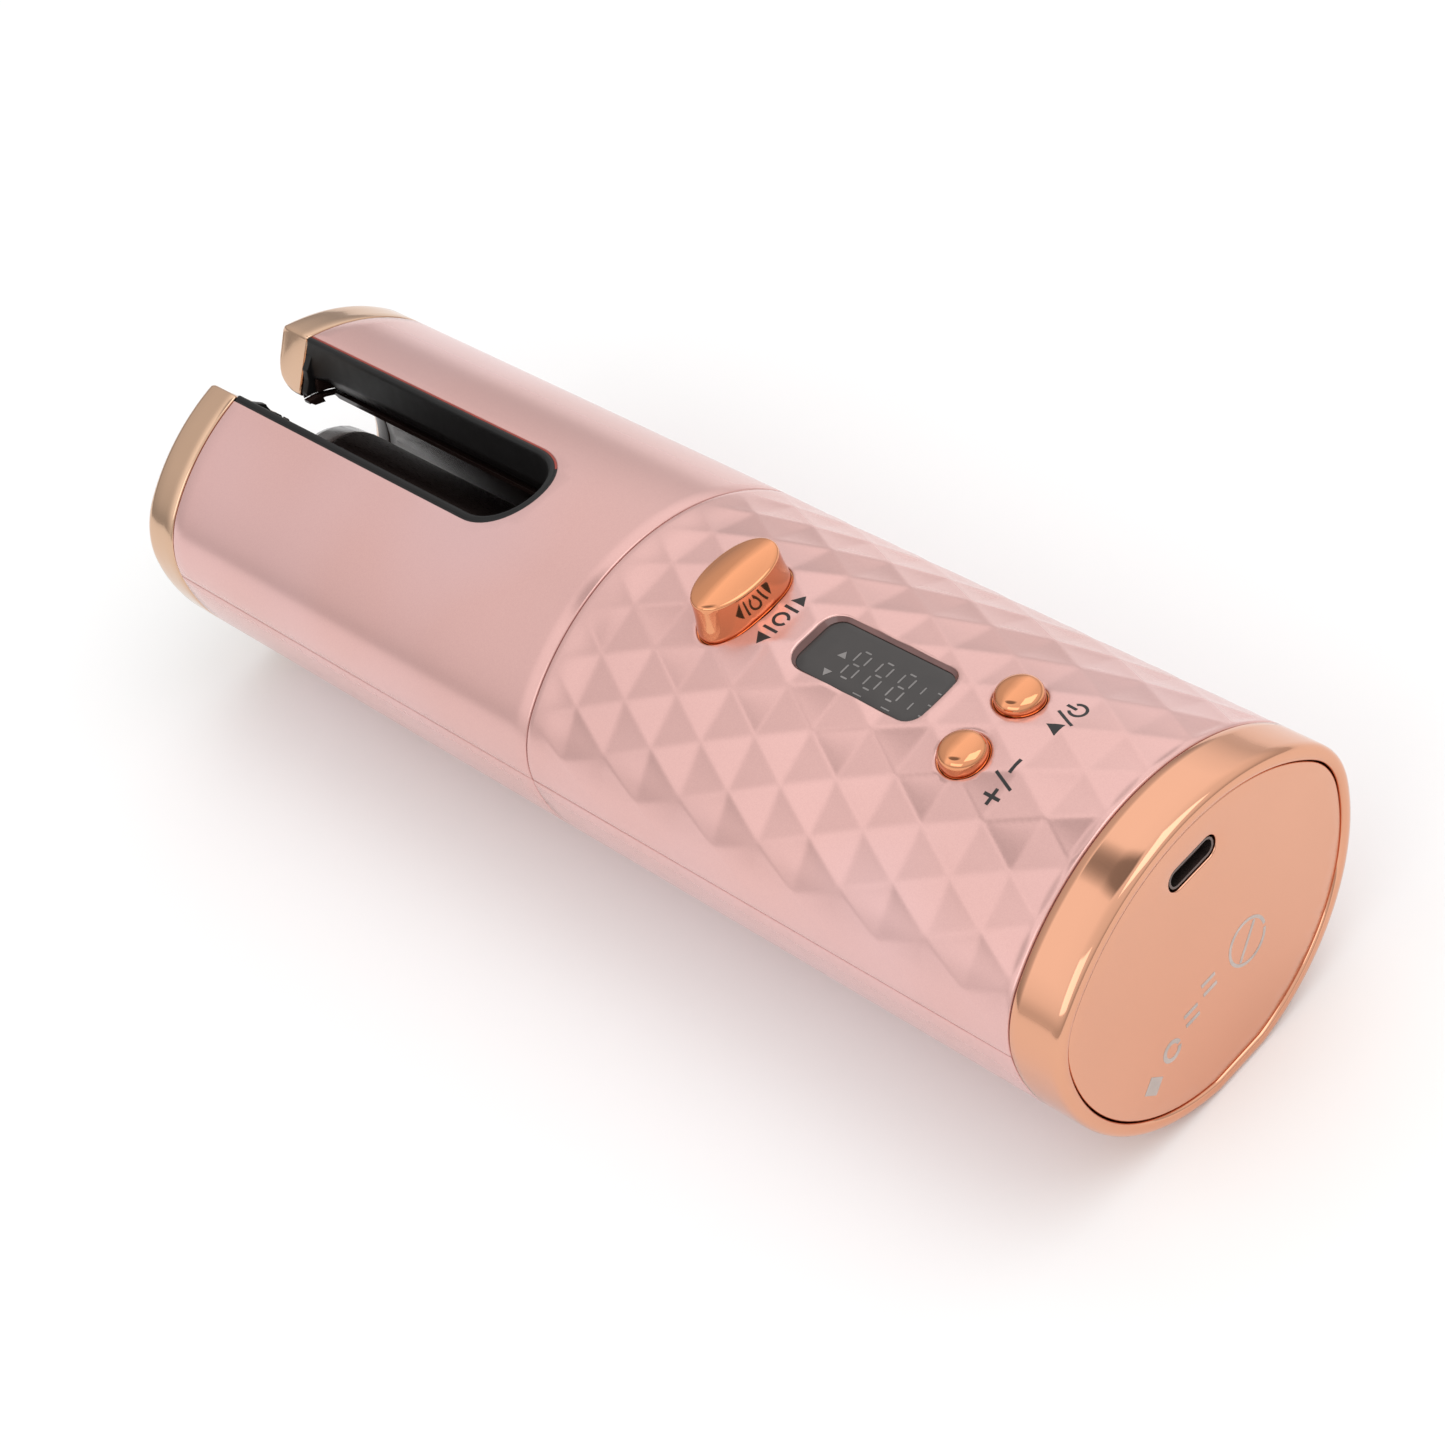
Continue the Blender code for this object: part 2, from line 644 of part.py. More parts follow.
def drive():
    """Gears, bush, gearbox and motor that turn the rotor, and the wall that carries them."""
    motor_centre = (DRIVE_OFFSET, AXIS_Z)
    ring = shifted(gear_outline(RING_TEETH, GEAR_MODULE), (0.0, AXIS_Z))
    along_x("ring_gear", [ring, circle(0.0, AXIS_Z, 10.0)], 80.0, 84.0, PARTS, "white_nylon")
    turned("rotor_bush", [(77.0, 8.0), (84.0, 8.0), (84.0, 7.3), (77.0, 7.3)], PARTS, "brass")
    teeth = shifted(gear_outline(PINION_TEETH, GEAR_MODULE), motor_centre)
    pinion = along_x("drive_pinion", [teeth], 80.2, 83.8, PARTS, "steel")
    joined(pinion, cylinder("pinion_shaft", 82.0, 96.0, 1.5, motor_centre, CUTTERS, steps=16))
    gearbox = cylinder("gearbox", 89.3, 103.0, MOTOR_RADIUS - 0.2, motor_centre, PARTS, "steel")
    shaft_hole = cylinder("gearbox_shaft_hole", 88.0, 96.5, 1.8, motor_centre, CUTTERS, steps=16)
    cut(gearbox, shaft_hole, *screw_holes("gearbox", 88.0, 93.0))
    cylinder("motor", 103.3, 128.0, MOTOR_RADIUS - 0.6, motor_centre, PARTS, "steel")
    holes = [circle(0.0, AXIS_Z, 3.0, 16), circle(*motor_centre, 2.2, 16)]
    holes += [circle(*centre, 1.2, 10) for centre in SCREW_CENTRES["base"] + SCREW_CENTRES["gearbox"]]
    along_x("bulkhead", [section(WALL + 0.35)] + holes, 86.6, 89.0, PARTS, "white_nylon")
    for centre, end in zip(SCREW_CENTRES["base"], ("upper", "lower")):
        screw("base_screw_" + end, centre, (89.3, 90.6), (85.4, 90.0))
    for centre, end in zip(SCREW_CENTRES["gearbox"], ("upper", "lower")):
        screw("gearbox_screw_" + end, centre, (85.0, 86.3), (85.5, 92.5))


def screw_holes(group, start, end):
    return [
        cylinder(f"{group}_screw_hole_{i}", start, end, 1.2, centre, CUTTERS, steps=10)
        for i, centre in enumerate(SCREW_CENTRES[group])
    ]


def screw(name, centre, head_span, shank_span):
    """A pan-head screw along X: its head and its shank are one solid."""
    obj = cylinder(name, *head_span, 1.7, centre, PARTS, "steel", 12)
    joined(obj, cylinder(name + "_shank", *shank_span, 0.9, centre, CUTTERS, steps=8))


# ---------------------------------------------------------------- the handle


def joint_ring():
    along_x("joint_ring", [section(2.7), section(3.9)], 92.0, 104.0, PARTS, "pearl_pink")


def handle_shells():
    ends = (HEAD_END + JOINT_GAP / 2, HANDLE_END - JOINT_GAP / 2)
    front = faceted_block("handle_front_shell", *ends, PARTS, "pearl_pink")
    hollow = section(WALL)
    cavity = along_x("handle_cavity", [hollow], ends[0] - 5.0, ends[1] + 5.0, CUTTERS)
    cut(front, cavity)
    for i, centre in enumerate(BOARD_SCREWS):
        post = [(0.0, 51.0), (2.4, 51.0), (2.4, BOARD_TOP_Z + 0.3), (0.0, BOARD_TOP_Z + 0.3)]
        joined(front, upright(f"board_post_{i}", post, centre, CUTTERS, steps=16))
        pilot = [(0.0, 50.2), (1.1, 50.2), (1.1, 44.0), (0.0, 44.0)]
        cut(front, upright(f"board_pilot_{i}", pilot, centre, CUTTERS, steps=10))
    for cutter in control_openings():
        cut(front, cutter)
    outline = half_shell_outline(0, WALL, False)
    lowered = [(y, z - JOINT_GAP if z > PARTING_Z - 1e-6 else z) for y, z in outline]
    along_x("handle_back_shell", [lowered], *ends, PARTS, "pearl_pink")


def control_openings():
    """Cutters for the START button, the display and the two round buttons."""
    start = ellipse(START_HALF_LENGTH, START_HALF_WIDTH)
    found = [along_z("start_opening", [start], 45.0, 60.0, CUTTERS, centre=(station(START_X), 0.0))]
    window = rounded_rectangle(DISPLAY_HALF_LENGTH, DISPLAY_HALF_WIDTH, 3.0)
    found.append(along_z("display_opening", [window], 45.0, 60.0, CUTTERS, centre=(station(DISPLAY_X), 0.0)))
    for name, y in ROUND_BUTTONS:
        hole = [(0.0, 60.0), (ROUND_BUTTON_RADIUS, 60.0), (ROUND_BUTTON_RADIUS, 45.0), (0.0, 45.0)]
        found.append(upright(name + "_opening", hole, (ROUND_BUTTON_X, y), CUTTERS, steps=32))
    return found


def start_button():
    """Tall elliptical button, held under the shell by its flange; its origin is on its travel line."""
    centre = (station(START_X), 0.0)
    outline = ellipse(START_HALF_LENGTH - 0.3, START_HALF_WIDTH - 0.3)
    obj = along_z("start_button", [outline], 49.2, START_TOP_Z, PARTS, "rose_gold", centre)
    rounding = obj.modifiers.new("rounded_top", "BEVEL")
    rounding.width = 0.9 * MM
    rounding.segments = 2
    rounding.limit_method = "ANGLE"
    rounding.angle_limit = math.radians(60)
    rim = ellipse(START_HALF_LENGTH + 0.9, START_HALF_WIDTH + 0.9)
    joined(obj, along_z("start_flange", [rim], 48.8, 50.0, CUTTERS, centre=centre))


def round_buttons():
    for name, y in ROUND_BUTTONS:
        radius = ROUND_BUTTON_RADIUS - 0.3
        profile = [(0.0, 55.9), (1.8, 55.8), (3.1, 55.4), (radius, 54.4), (radius, 49.8)]
        profile += [(radius + 1.0, 49.8), (radius + 1.0, 48.6), (0.0, 48.6)]
        upright(name + "_button", profile, (ROUND_BUTTON_X, y), PARTS, "rose_gold")


def switches():
    """Low tact switches on the board, one below each button."""
    for name, x, y, top in (
        ("start", START_X, 0.0, 47.2),
        ("power", ROUND_BUTTON_X, ROUND_BUTTON_Y, 47.5),
        ("temperature", ROUND_BUTTON_X, -ROUND_BUTTON_Y, 47.5),
    ):
        spans = ((x - 3.0, x + 3.0), (y - 3.0, y + 3.0), (BOARD_TOP_Z + 0.3, top - 0.4))
        body = box(name + "_switch", *spans, PARTS, "black_nylon")
        plunger = [(0.0, top), (1.6, top), (1.6, BOARD_TOP_Z + 0.6), (0.0, BOARD_TOP_Z + 0.6)]
        joined(body, upright(name + "_plunger", plunger, (x, y), CUTTERS, steps=12))


def display():
    centre = (station(DISPLAY_X), 0.0)
    window = rounded_rectangle(DISPLAY_HALF_LENGTH - 0.3, DISPLAY_HALF_WIDTH - 0.3, 2.7)
    lens = along_z("display_lens", [window], 50.4, DISPLAY_TOP_Z, PARTS, "smoked_lens", centre)
    rim = rounded_rectangle(DISPLAY_HALF_LENGTH + 1.0, DISPLAY_HALF_WIDTH + 1.0, 2.0)
    joined(lens, along_z("lens_rim", [rim], 49.9, 50.9, CUTTERS, centre=centre))
    spans = ((136.0, 160.0), (-6.5, 6.5), (BOARD_TOP_Z + 0.3, 49.5))
    box("display_module", *spans, PARTS, "ceramic")


def electronics():
    board = box("main_board", (108.0, 187.0), (-17.0, 17.0), (BOARD_Z, BOARD_TOP_Z), PARTS, "board_green")
    for i, centre in enumerate(BOARD_SCREWS):
        hole = [(0.0, 47.0), (1.2, 47.0), (1.2, 43.0), (0.0, 43.0)]
        cut(board, upright(f"board_hole_{i}", hole, centre, CUTTERS, steps=12))
        fastener = [(0.0, 49.6), (0.8, 49.6), (0.8, 43.9), (1.9, 43.9), (1.9, 42.6), (0.0, 42.6)]
        upright(f"board_screw_{i + 1}", fastener, centre, PARTS, "steel", steps=10)
    cradle = box("battery_cradle", (131.0, 196.0), (-20.5, 20.5), (4.0, 14.0), PARTS, "black_nylon")
    combine(cradle, along_x("cradle_envelope", [section(4.25)], 120.0, 200.0, CUTTERS), "INTERSECT")
    for name, y in (("left", -9.8), ("right", 9.8)):
        seat = cylinder("cell_seat_" + name, 130.0, 200.0, 9.5, (y, 17.3), CUTTERS, steps=24)
        cut(cradle, seat)
        cylinder("battery_" + name, 131.0, 195.5, 9.15, (y, 17.3), PARTS, "cell_blue", steps=24)


def charging_end():
    """Rose-gold band, the plate inside it, and the charging socket with its small board."""
    band = along_x("rear_band", [section(0.0), section(3.9)], 190.0, LENGTH, PARTS, "rose_gold")
    inside = along_x("band_inside", [section(2.3)], 200.0, 210.0, CUTTERS)
    cut(band, band_outside("band_spigot_outside", 185.0, HANDLE_END + JOINT_GAP / 2), inside)
    port = shifted(rounded_rectangle(USB_HALF_WIDTH + 0.3, USB_HALF_HEIGHT + 0.3, 1.9), (0.0, USB_Z))
    along_x("end_plate", [section(END_PLATE_INSET), port], 202.4, 204.6, PARTS, "rose_gold")
    shell = shifted(rounded_rectangle(USB_HALF_WIDTH, USB_HALF_HEIGHT, 1.6), (0.0, USB_Z))
    mouth = shifted(rounded_rectangle(USB_HALF_WIDTH - 0.4, USB_HALF_HEIGHT - 0.4, 1.25), (0.0, USB_Z))
    socket = along_x("usb_socket", [shell], 196.5, 204.3, PARTS, "steel")
    cut(socket, along_x("usb_mouth", [mouth], 198.0, 206.0, CUTTERS))
    tongue = shifted(rounded_rectangle(3.3, 0.35, 0.2, 2), (0.0, USB_Z))
    joined(socket, along_x("usb_tongue", [tongue], 197.5, 203.3, CUTTERS))
    box("usb_board", (188.5, 201.5), (-9.0, 9.0), (USB_Z - 3.4, USB_Z - 2.1), PARTS, "board_green")


def build():
    tip_ring()
    head_shells()
    slot_liner()
    chamber_tube()
    barrel()
    rotor()
    drive()
    joint_ring()
    handle_shells()
    start_button()
    round_buttons()
    switches()
    display()
    electronics()
    charging_end()
    for cutter in CUTTERS.objects:
        cutter.hide_render = True
        cutter.display_type = "WIRE"
    for obj in PARTS.objects:
        smooth(obj)


clear_scene()
PARTS = new_collection("hair_curler")
CUTTERS = new_collection("cutters", hidden=True)
build()
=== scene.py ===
"""Looks of the cordless automatic hair curler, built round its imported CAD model.

Lengths are in millimetres until a mesh is made. A station is a distance along X from the open tip.
"""

import json
import math

import bmesh
import bpy
import numpy as np
from mathutils import Matrix, Vector
from mathutils.geometry import delaunay_2d_cdt


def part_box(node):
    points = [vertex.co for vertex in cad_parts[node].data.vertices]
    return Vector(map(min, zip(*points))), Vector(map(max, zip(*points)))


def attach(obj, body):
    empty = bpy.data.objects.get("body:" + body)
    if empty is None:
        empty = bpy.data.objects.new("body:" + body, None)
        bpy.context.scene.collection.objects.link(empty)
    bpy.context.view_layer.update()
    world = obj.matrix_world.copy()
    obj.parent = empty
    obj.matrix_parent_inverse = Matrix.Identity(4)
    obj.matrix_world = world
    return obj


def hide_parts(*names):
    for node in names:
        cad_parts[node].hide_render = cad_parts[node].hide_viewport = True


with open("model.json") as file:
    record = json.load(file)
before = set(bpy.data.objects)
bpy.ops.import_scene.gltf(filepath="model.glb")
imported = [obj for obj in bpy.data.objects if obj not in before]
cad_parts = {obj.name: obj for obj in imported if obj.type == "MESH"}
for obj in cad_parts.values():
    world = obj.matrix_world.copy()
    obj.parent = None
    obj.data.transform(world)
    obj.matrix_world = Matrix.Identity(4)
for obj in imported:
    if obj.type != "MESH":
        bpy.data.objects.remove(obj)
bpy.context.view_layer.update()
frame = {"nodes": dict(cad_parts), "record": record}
NODES = frame["nodes"]
MM = 0.001
TIP_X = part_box("tip_ring")[0].x / MM

# The body's section: four arcs, as in the CAD model
TOP_RADIUS = 38.4
TOP_Z = 16.05
SIDE_RADIUS = 15.8
SIDE_Y = 16.2
SIDE_Z = 31.8
BOTTOM_RADIUS = 32.0
BOTTOM_Z = 31.6
TOP_ANGLE = math.atan2(SIDE_Y, SIDE_Z - TOP_Z)
SIDE_ANGLE = math.atan2(SIDE_Y, SIDE_Z - BOTTOM_Z)
TOP_RUN = TOP_RADIUS * TOP_ANGLE
SIDE_RUN = TOP_RUN + SIDE_RADIUS * (SIDE_ANGLE - TOP_ANGLE)
PARTING_RUN = SIDE_RUN + BOTTOM_RADIUS * (math.pi / 2 - SIDE_ANGLE)
HALF_RUN = SIDE_RUN + BOTTOM_RADIUS * (math.pi - SIDE_ANGLE)

# The chamber's axis, the outside of its tube, the shells' wall and the gap at a parting line
AXIS_Z = 29.1
TUBE_RADIUS = 16.2
WALL = 2.4
PARTING_GAP = 0.14
HEAD_ENDS = (7.55, 97.92)
HANDLE_ENDS = (98.08, 195.92)

# The hair slot: half its width, and the station where its round end starts
SLOT_HALF = 9.2
SLOT_ROUND = 66.6

# The handle's lattice of triangles: its pitch round the section, its rows along the body, the sag of
# its cross edges and the softening of all its edges. A run is a distance round the section
PITCH = 8.9
FACET_ROWS = 12
FACET_START = 98.15
FACET_LENGTH = 97.7
FACET_DIP = 0.13
FACET_SOFT = 0.16
SOFT_STEPS = 6

# Where the lattice fades into the plain skin: runs down the side, then stations at its two ends
SIDE_FADE = (4 * PITCH - 2.5, 4 * PITCH + 6.5)
LOWER_FADE = (26.0, 33.0)
LOWER_LOSS = 0.55
FRONT_FADE = (FACET_START + 0.5, FACET_START + 7.0)
REAR_FADE = (FACET_START + FACET_LENGTH - 1.6, FACET_START + FACET_LENGTH - 0.2)

# Runs over which the edges of openings turn from upright to square to the skin
WALL_TURN = (14.0, 20.0)

# Distances, in metres, within which points of a new mesh or of a CAD mesh become one
WELD = 0.0000005
CAD_WELD = 0.000001
FLAT_ANGLE = math.radians(0.5)

# Sheets: shares of the rounding at which rims get extra rings, a limit for mitres, and the number of
# distances that are worked out at once
RIM_SHARES = (0.12, 0.4, 1.0)
MITRE_LIMIT = 0.3
PAIRS_AT_ONCE = 4000000


# ------------ the section


def skin(run, inset=0.0):
    """(y, z) of the section, a distance along it from the top centre and an inset below it."""
    run = np.asarray(run, float)
    wrapped = (run + HALF_RUN) % (2 * HALF_RUN) - HALF_RUN
    side = np.where(wrapped < 0, -1.0, 1.0)
    length = np.abs(wrapped)
    top, flank = length <= TOP_RUN, length <= SIDE_RUN
    centre_y = np.where(top, 0.0, np.where(flank, SIDE_Y, 0.0))
    centre_z = np.where(top, TOP_Z, np.where(flank, SIDE_Z, BOTTOM_Z))
    radius = np.where(top, TOP_RADIUS, np.where(flank, SIDE_RADIUS, BOTTOM_RADIUS))
    side_angle = TOP_ANGLE + (length - TOP_RUN) / SIDE_RADIUS
    bottom_angle = SIDE_ANGLE + (length - SIDE_RUN) / BOTTOM_RADIUS
    angle = np.where(top, length / TOP_RADIUS, np.where(flank, side_angle, bottom_angle))
    reach = radius - inset
    y = side * (centre_y + reach * np.sin(angle))
    z = centre_z + reach * np.cos(angle)
    return y, np.maximum(z, inset)


def top_z(y, inset=0.0):
    """Height of the upper skin above a distance from the middle plane."""
    return TOP_Z + np.sqrt((TOP_RADIUS - inset) ** 2 - np.asarray(y, float) ** 2)


def run_of(y):
    """Run along the upper skin to a distance from the middle plane."""
    return TOP_RADIUS * np.arcsin(np.asarray(y, float) / TOP_RADIUS)


def points_of(station, y, z):
    return np.stack(np.broadcast_arrays(np.asarray(station, float) + TIP_X, y, z), -1)


def smooth_skin(station, run, inset):
    """The plain skin, as a surface for patch()."""
    y, z = skin(run, inset)
    return points_of(station, y, z)


def facet_corner(row, column):
    """Skin point of a lattice corner."""
    offset = np.where(np.round(row).astype(int) % 2 == 1, 0.0, 0.5)
    y, z = skin((column + offset) * PITCH)
    return points_of(FACET_START + FACET_LENGTH * row / FACET_ROWS, y, z)


def facet_point(station, run):
    """Point of the lattice of triangles, whose corners lie on the skin and whose cross edges sag."""
    height = np.clip((station - FACET_START) / FACET_LENGTH * FACET_ROWS, 0.0, FACET_ROWS - 1e-6)
    row = np.floor(height)
    rise = height - row
    offset = np.where(row.astype(int) % 2 == 1, 0.0, 0.5)
    skewed = run / PITCH - offset - rise / 2
    column = np.floor(skewed)
    part = skewed - column
    lower = part + rise <= 1
    shift = np.where(offset == 0.5, 1.0, 0.0)
    weights = (
        (row, column, np.where(lower, 1 - part - rise, 0)),
        (row, column + 1, np.where(lower, part, 1 - rise)),
        (row + 1, column + shift, np.where(lower, rise, 1 - part)),
        (row + 1, column + 1 + shift, np.where(lower, 0, part + rise - 1)),
    )
    flat = sum(facet_corner(r, c) * w[..., None] for r, c, w in weights)
    first = np.where(lower, 1 - part - rise, 1 - part)
    second = np.where(lower, part, part + rise - 1)
    dip = FACET_DIP * 4 * first * second / np.maximum(first + second, 1e-6)
    (y, z), (low_y, low_z) = skin(run), skin(run, dip)
    return flat + np.stack([np.zeros_like(y), low_y - y, low_z - z], -1)


def fade(value, start, end):
    """0 before the start, 1 after the end, and a smooth step between them."""
    share = np.clip((value - start) / (end - start), 0.0, 1.0)
    return share * share * (3 - 2 * share)


def faceted_skin(station, run, inset):
    """The handle's outside: facets with softened edges, fading into the plain skin."""
    station, run = np.asarray(station, float), np.asarray(run, float)
    total = facet_point(station, run)
    for i in range(SOFT_STEPS):
        angle = 2 * math.pi * i / SOFT_STEPS
        step, turn = FACET_SOFT * math.cos(angle), FACET_SOFT * math.sin(angle)
        total = total + facet_point(station + step, run + turn)
    plain_y, plain_z = skin(run)
    plain = points_of(station, plain_y, plain_z)
    share = 1 - fade(np.abs(run), *SIDE_FADE)
    share = share * (1 - LOWER_LOSS * fade(np.abs(run), *LOWER_FADE))
    share = share * fade(station, *FRONT_FADE)
    share = share * (1 - fade(station, *REAR_FADE))
    outside = plain + (total / (SOFT_STEPS + 1) - plain) * share[..., None]
    near_y, near_z = skin(run, 1.0)
    inward = np.stack([np.zeros_like(plain_y), near_y - plain_y, near_z - plain_z], -1)
    down = np.broadcast_to(np.array([0.0, 0.0, -1.0]), inward.shape)
    sideways = fade(np.abs(run), *WALL_TURN)[..., None]
    return outside + (down + (inward - down) * sideways) * np.asarray(inset, float)[..., None]


# ------------ meshes


def place(name, data):
    """A new object in the scene, from its data."""
    obj = bpy.data.objects.new(name, data)
    bpy.context.scene.collection.objects.link(obj)
    return obj


def finished(mesh, material, weld, smooth_angle, flatten=False):
    """Joins near points, turns the faces outwards, and shades a mesh smooth up to an angle."""
    work = bmesh.new()
    work.from_mesh(mesh)
    bmesh.ops.remove_doubles(work, verts=work.verts, dist=weld)
    bmesh.ops.recalc_face_normals(work, faces=work.faces)
    if flatten:
        bmesh.ops.dissolve_limit(work, angle_limit=FLAT_ANGLE, verts=work.verts, edges=work.edges)
    work.to_mesh(mesh)
    work.free()
    if "custom_normal" in mesh.attributes:
        mesh.attributes.remove(mesh.attributes["custom_normal"])
    mesh.shade_smooth()
    mesh.set_sharp_from_angle(angle=math.radians(smooth_angle))
    mesh.materials.clear()
    mesh.materials.append(material)
    return mesh


def mesh_piece(name, points, faces, material, smooth_angle=40):
    """A new object from points in millimetres."""
    mesh = bpy.data.meshes.new(name)
    mesh.from_pydata([tuple(p) for p in np.asarray(points) * MM], [], [list(map(int, f)) for f in faces])
    return place(name, finished(mesh, material, WELD, smooth_angle))


def grid_faces(rows, columns, wrap_rows=False, wrap_columns=False):
    """Quads between neighbouring points of a grid stored row by row."""
    faces = []
    for i in range(rows if wrap_rows else rows - 1):
        for j in range(columns if wrap_columns else columns - 1):
            k, m = (i + 1) % rows, (j + 1) % columns
            faces.append((i * columns + j, i * columns + m, k * columns + m, k * columns + j))
    return faces


def loop_distance(points, loops):
    """Distance from each flat point to the nearest edge of some closed loops."""
    best = np.full(len(points), np.inf)
    for loop in loops:
        start = np.asarray(loop, float)
        along = np.roll(start, -1, 0) - start
        length = np.maximum((along**2).sum(1), 1e-12)
        parts = len(points) * len(start) // PAIRS_AT_ONCE + 1
        for chunk in np.array_split(np.arange(len(points)), parts):
            away = points[chunk, None, :] - start[None]
            share = np.clip((away * along).sum(2) / length, 0, 1)
            gap = away - share[..., None] * along
            best[chunk] = np.minimum(best[chunk], np.sqrt((gap**2).sum(2)).min(1))
    return best


def inside(points, loop):
    """Which flat points lie inside a closed loop."""
    loop = np.asarray(loop, float)
    x, y = points[:, 0], points[:, 1]
    found = np.zeros(len(points), bool)
    for (x0, y0), (x1, y1) in zip(loop, np.roll(loop, -1, 0)):
        if y0 == y1:
            continue
        crosses = (y0 > y) != (y1 > y)
        found ^= crosses & (x < (x1 - x0) * (y - y0) / (y1 - y0) + x0)
    return found


def dense(loop, step):
    """A closed loop with its long edges divided."""
    made = []
    for start, end in zip(loop, list(loop[1:]) + [loop[0]]):
        count = max(1, math.ceil(math.dist(start, end) / step))
        for i in range(count):
            made.append(tuple(a + (b - a) * i / count for a, b in zip(start, end)))
    return made


def moved_in(loop, distance):
    """A loop moved to its left by a distance, with mitred corners."""
    loop = np.asarray(loop, float)
    before, after = loop - np.roll(loop, 1, 0), np.roll(loop, -1, 0) - loop
    before /= np.linalg.norm(before, axis=1)[:, None]
    after /= np.linalg.norm(after, axis=1)[:, None]
    normals = np.stack([-before[:, 1] - after[:, 1], before[:, 0] + after[:, 0]], 1)
    scale = np.maximum((normals**2).sum(1) / 2, MITRE_LIMIT)
    return loop + normals / scale[:, None] * distance


def area(loop):
    """Area of a closed loop, negative when it runs clockwise."""
    loop = np.asarray(loop, float)
    following = np.roll(loop, -1, 0)
    return 0.5 * (loop[:, 0] * following[:, 1] - following[:, 0] * loop[:, 1]).sum()


def patch(name, loops, surface, depth, material, spacing, rounding=0.3, loop_step=1.0, smooth_angle=50):
    """A closed sheet with rounded rims, over flat loops: the outline first, then its holes.

    surface(a, b, inset) places a flat point; the underside lies at the inset called depth. spacing is
    that of the points between the loops, and loop_step that of the points along them.
    """
    loops = [dense(loop, loop_step) for loop in loops]
    loops = [loop if (area(loop) > 0) == (i == 0) else loop[::-1] for i, loop in enumerate(loops)]
    shares = RIM_SHARES if rounding else ()
    rings = [moved_in(loop, rounding * share) for loop in loops for share in shares]
    outline = np.asarray(loops[0])
    low, high = outline.min(0), outline.max(0)
    counts = [max(2, math.ceil((high[i] - low[i]) / spacing[i])) for i in (0, 1)]
    axes = [np.linspace(low[i], high[i], counts[i] + 1) for i in (0, 1)]
    grid = np.stack(np.meshgrid(*axes, indexing="ij"), -1).reshape(-1, 2)
    keep = inside(grid, loops[0]) & (loop_distance(grid, loops) > rounding + 0.45 * min(spacing))
    for hole in loops[1:]:
        keep &= ~inside(grid, hole)
    points, edges = [], []
    for loop in loops + rings:
        first = len(points)
        points += [tuple(map(float, p)) for p in loop]
        edges += [(first + i, first + (i + 1) % len(loop)) for i in range(len(loop))]
    points += [tuple(map(float, p)) for p in grid[keep]]
    flat, _, triangles, *_ = delaunay_2d_cdt([Vector(p) for p in points], edges, [], 0, 1e-6, False)
    flat = np.array([tuple(p) for p in flat])
    triangles = np.array(triangles)
    middle = flat[triangles].mean(1)
    wanted = inside(middle, loops[0])
    for hole in loops[1:]:
        wanted &= ~inside(middle, hole)
    triangles = triangles[wanted]
    away = loop_distance(flat, loops)
    inset = np.zeros(len(flat))
    if rounding:
        close = np.clip(rounding - away, 0.0, rounding)
        inset = rounding - np.sqrt(rounding**2 - close**2)
    above = surface(flat[:, 0], flat[:, 1], inset)
    below = surface(flat[:, 0], flat[:, 1], np.full(len(flat), float(depth)))
    count = len(flat)
    faces = [tuple(t) for t in triangles] + [tuple(t[::-1] + count) for t in triangles]
    directed = np.concatenate([triangles[:, [0, 1]], triangles[:, [1, 2]], triangles[:, [2, 0]]])
    known = {(a, b) for a, b in directed.tolist()}
    faces += [(b, a, a + count, b + count) for a, b in known if (b, a) not in known]
    return mesh_piece(name, np.concatenate([above, below]), faces, material, smooth_angle)


def swept(name, rows, material, closed_path=True, smooth_angle=40):
    """Cross-sections, each a closed loop of points, joined along a path; open paths are capped."""
    rows = np.asarray(rows, float)
    count, size = rows.shape[:2]
    faces = grid_faces(count, size, wrap_rows=closed_path, wrap_columns=True)
    if not closed_path:
        faces += [tuple(range(size)), tuple(range((count - 1) * size, count * size))[::-1]]
    return mesh_piece(name, rows.reshape(-1, 3), faces, material, smooth_angle)


def lofted(name, lines, material, closed_path=True, smooth_angle=40):
    """A swept piece, from the lines that the corners of its section draw along the path."""
    return swept(name, np.swapaxes(np.array(lines), 0, 1), material, closed_path, smooth_angle)


def superellipse(half_x, half_y, power, steps):
    """Points of an oval: an ellipse at power 2, squarer above it."""
    angles = np.linspace(0, 2 * math.pi, steps, endpoint=False)
    c, s = np.cos(angles), np.sin(angles)
    x = half_x * np.sign(c) * np.abs(c) ** (2 / power)
    y = half_y * np.sign(s) * np.abs(s) ** (2 / power)
    return np.stack([x, y], -1)


def rounded_box(half_a, half_b, corner, steps=6):
    """Points of a rectangle with rounded corners, about the origin."""
    made = []
    for turn, (sign_a, sign_b) in enumerate(((1, 1), (-1, 1), (-1, -1), (1, -1))):
        for i in range(steps + 1):
            angle = math.pi / 2 * (turn + i / steps)
            a = sign_a * (half_a - corner) + corner * math.cos(angle)
            b = sign_b * (half_b - corner) + corner * math.sin(angle)
            made.append((a, b))
    return made


def shifted(loop, a, b):
    """A loop moved by (a, b)."""
    return [(p[0] + a, p[1] + b) for p in loop]


def refined(node, name, material, bevel, smooth_angle=35):
    """A smooth-shaded copy of a CAD node with softened edges."""
    mesh = NODES[node].data.copy()
    mesh.name = name
    obj = place(name, finished(mesh, material, CAD_WELD, smooth_angle, flatten=True))
    if bevel:
        softening = obj.modifiers.new("softening", "BEVEL")
        softening.width = bevel * MM
        softening.segments = 2
        softening.limit_method = "ANGLE"
        softening.angle_limit = math.radians(smooth_angle)
        softening.harden_normals = True
    return obj


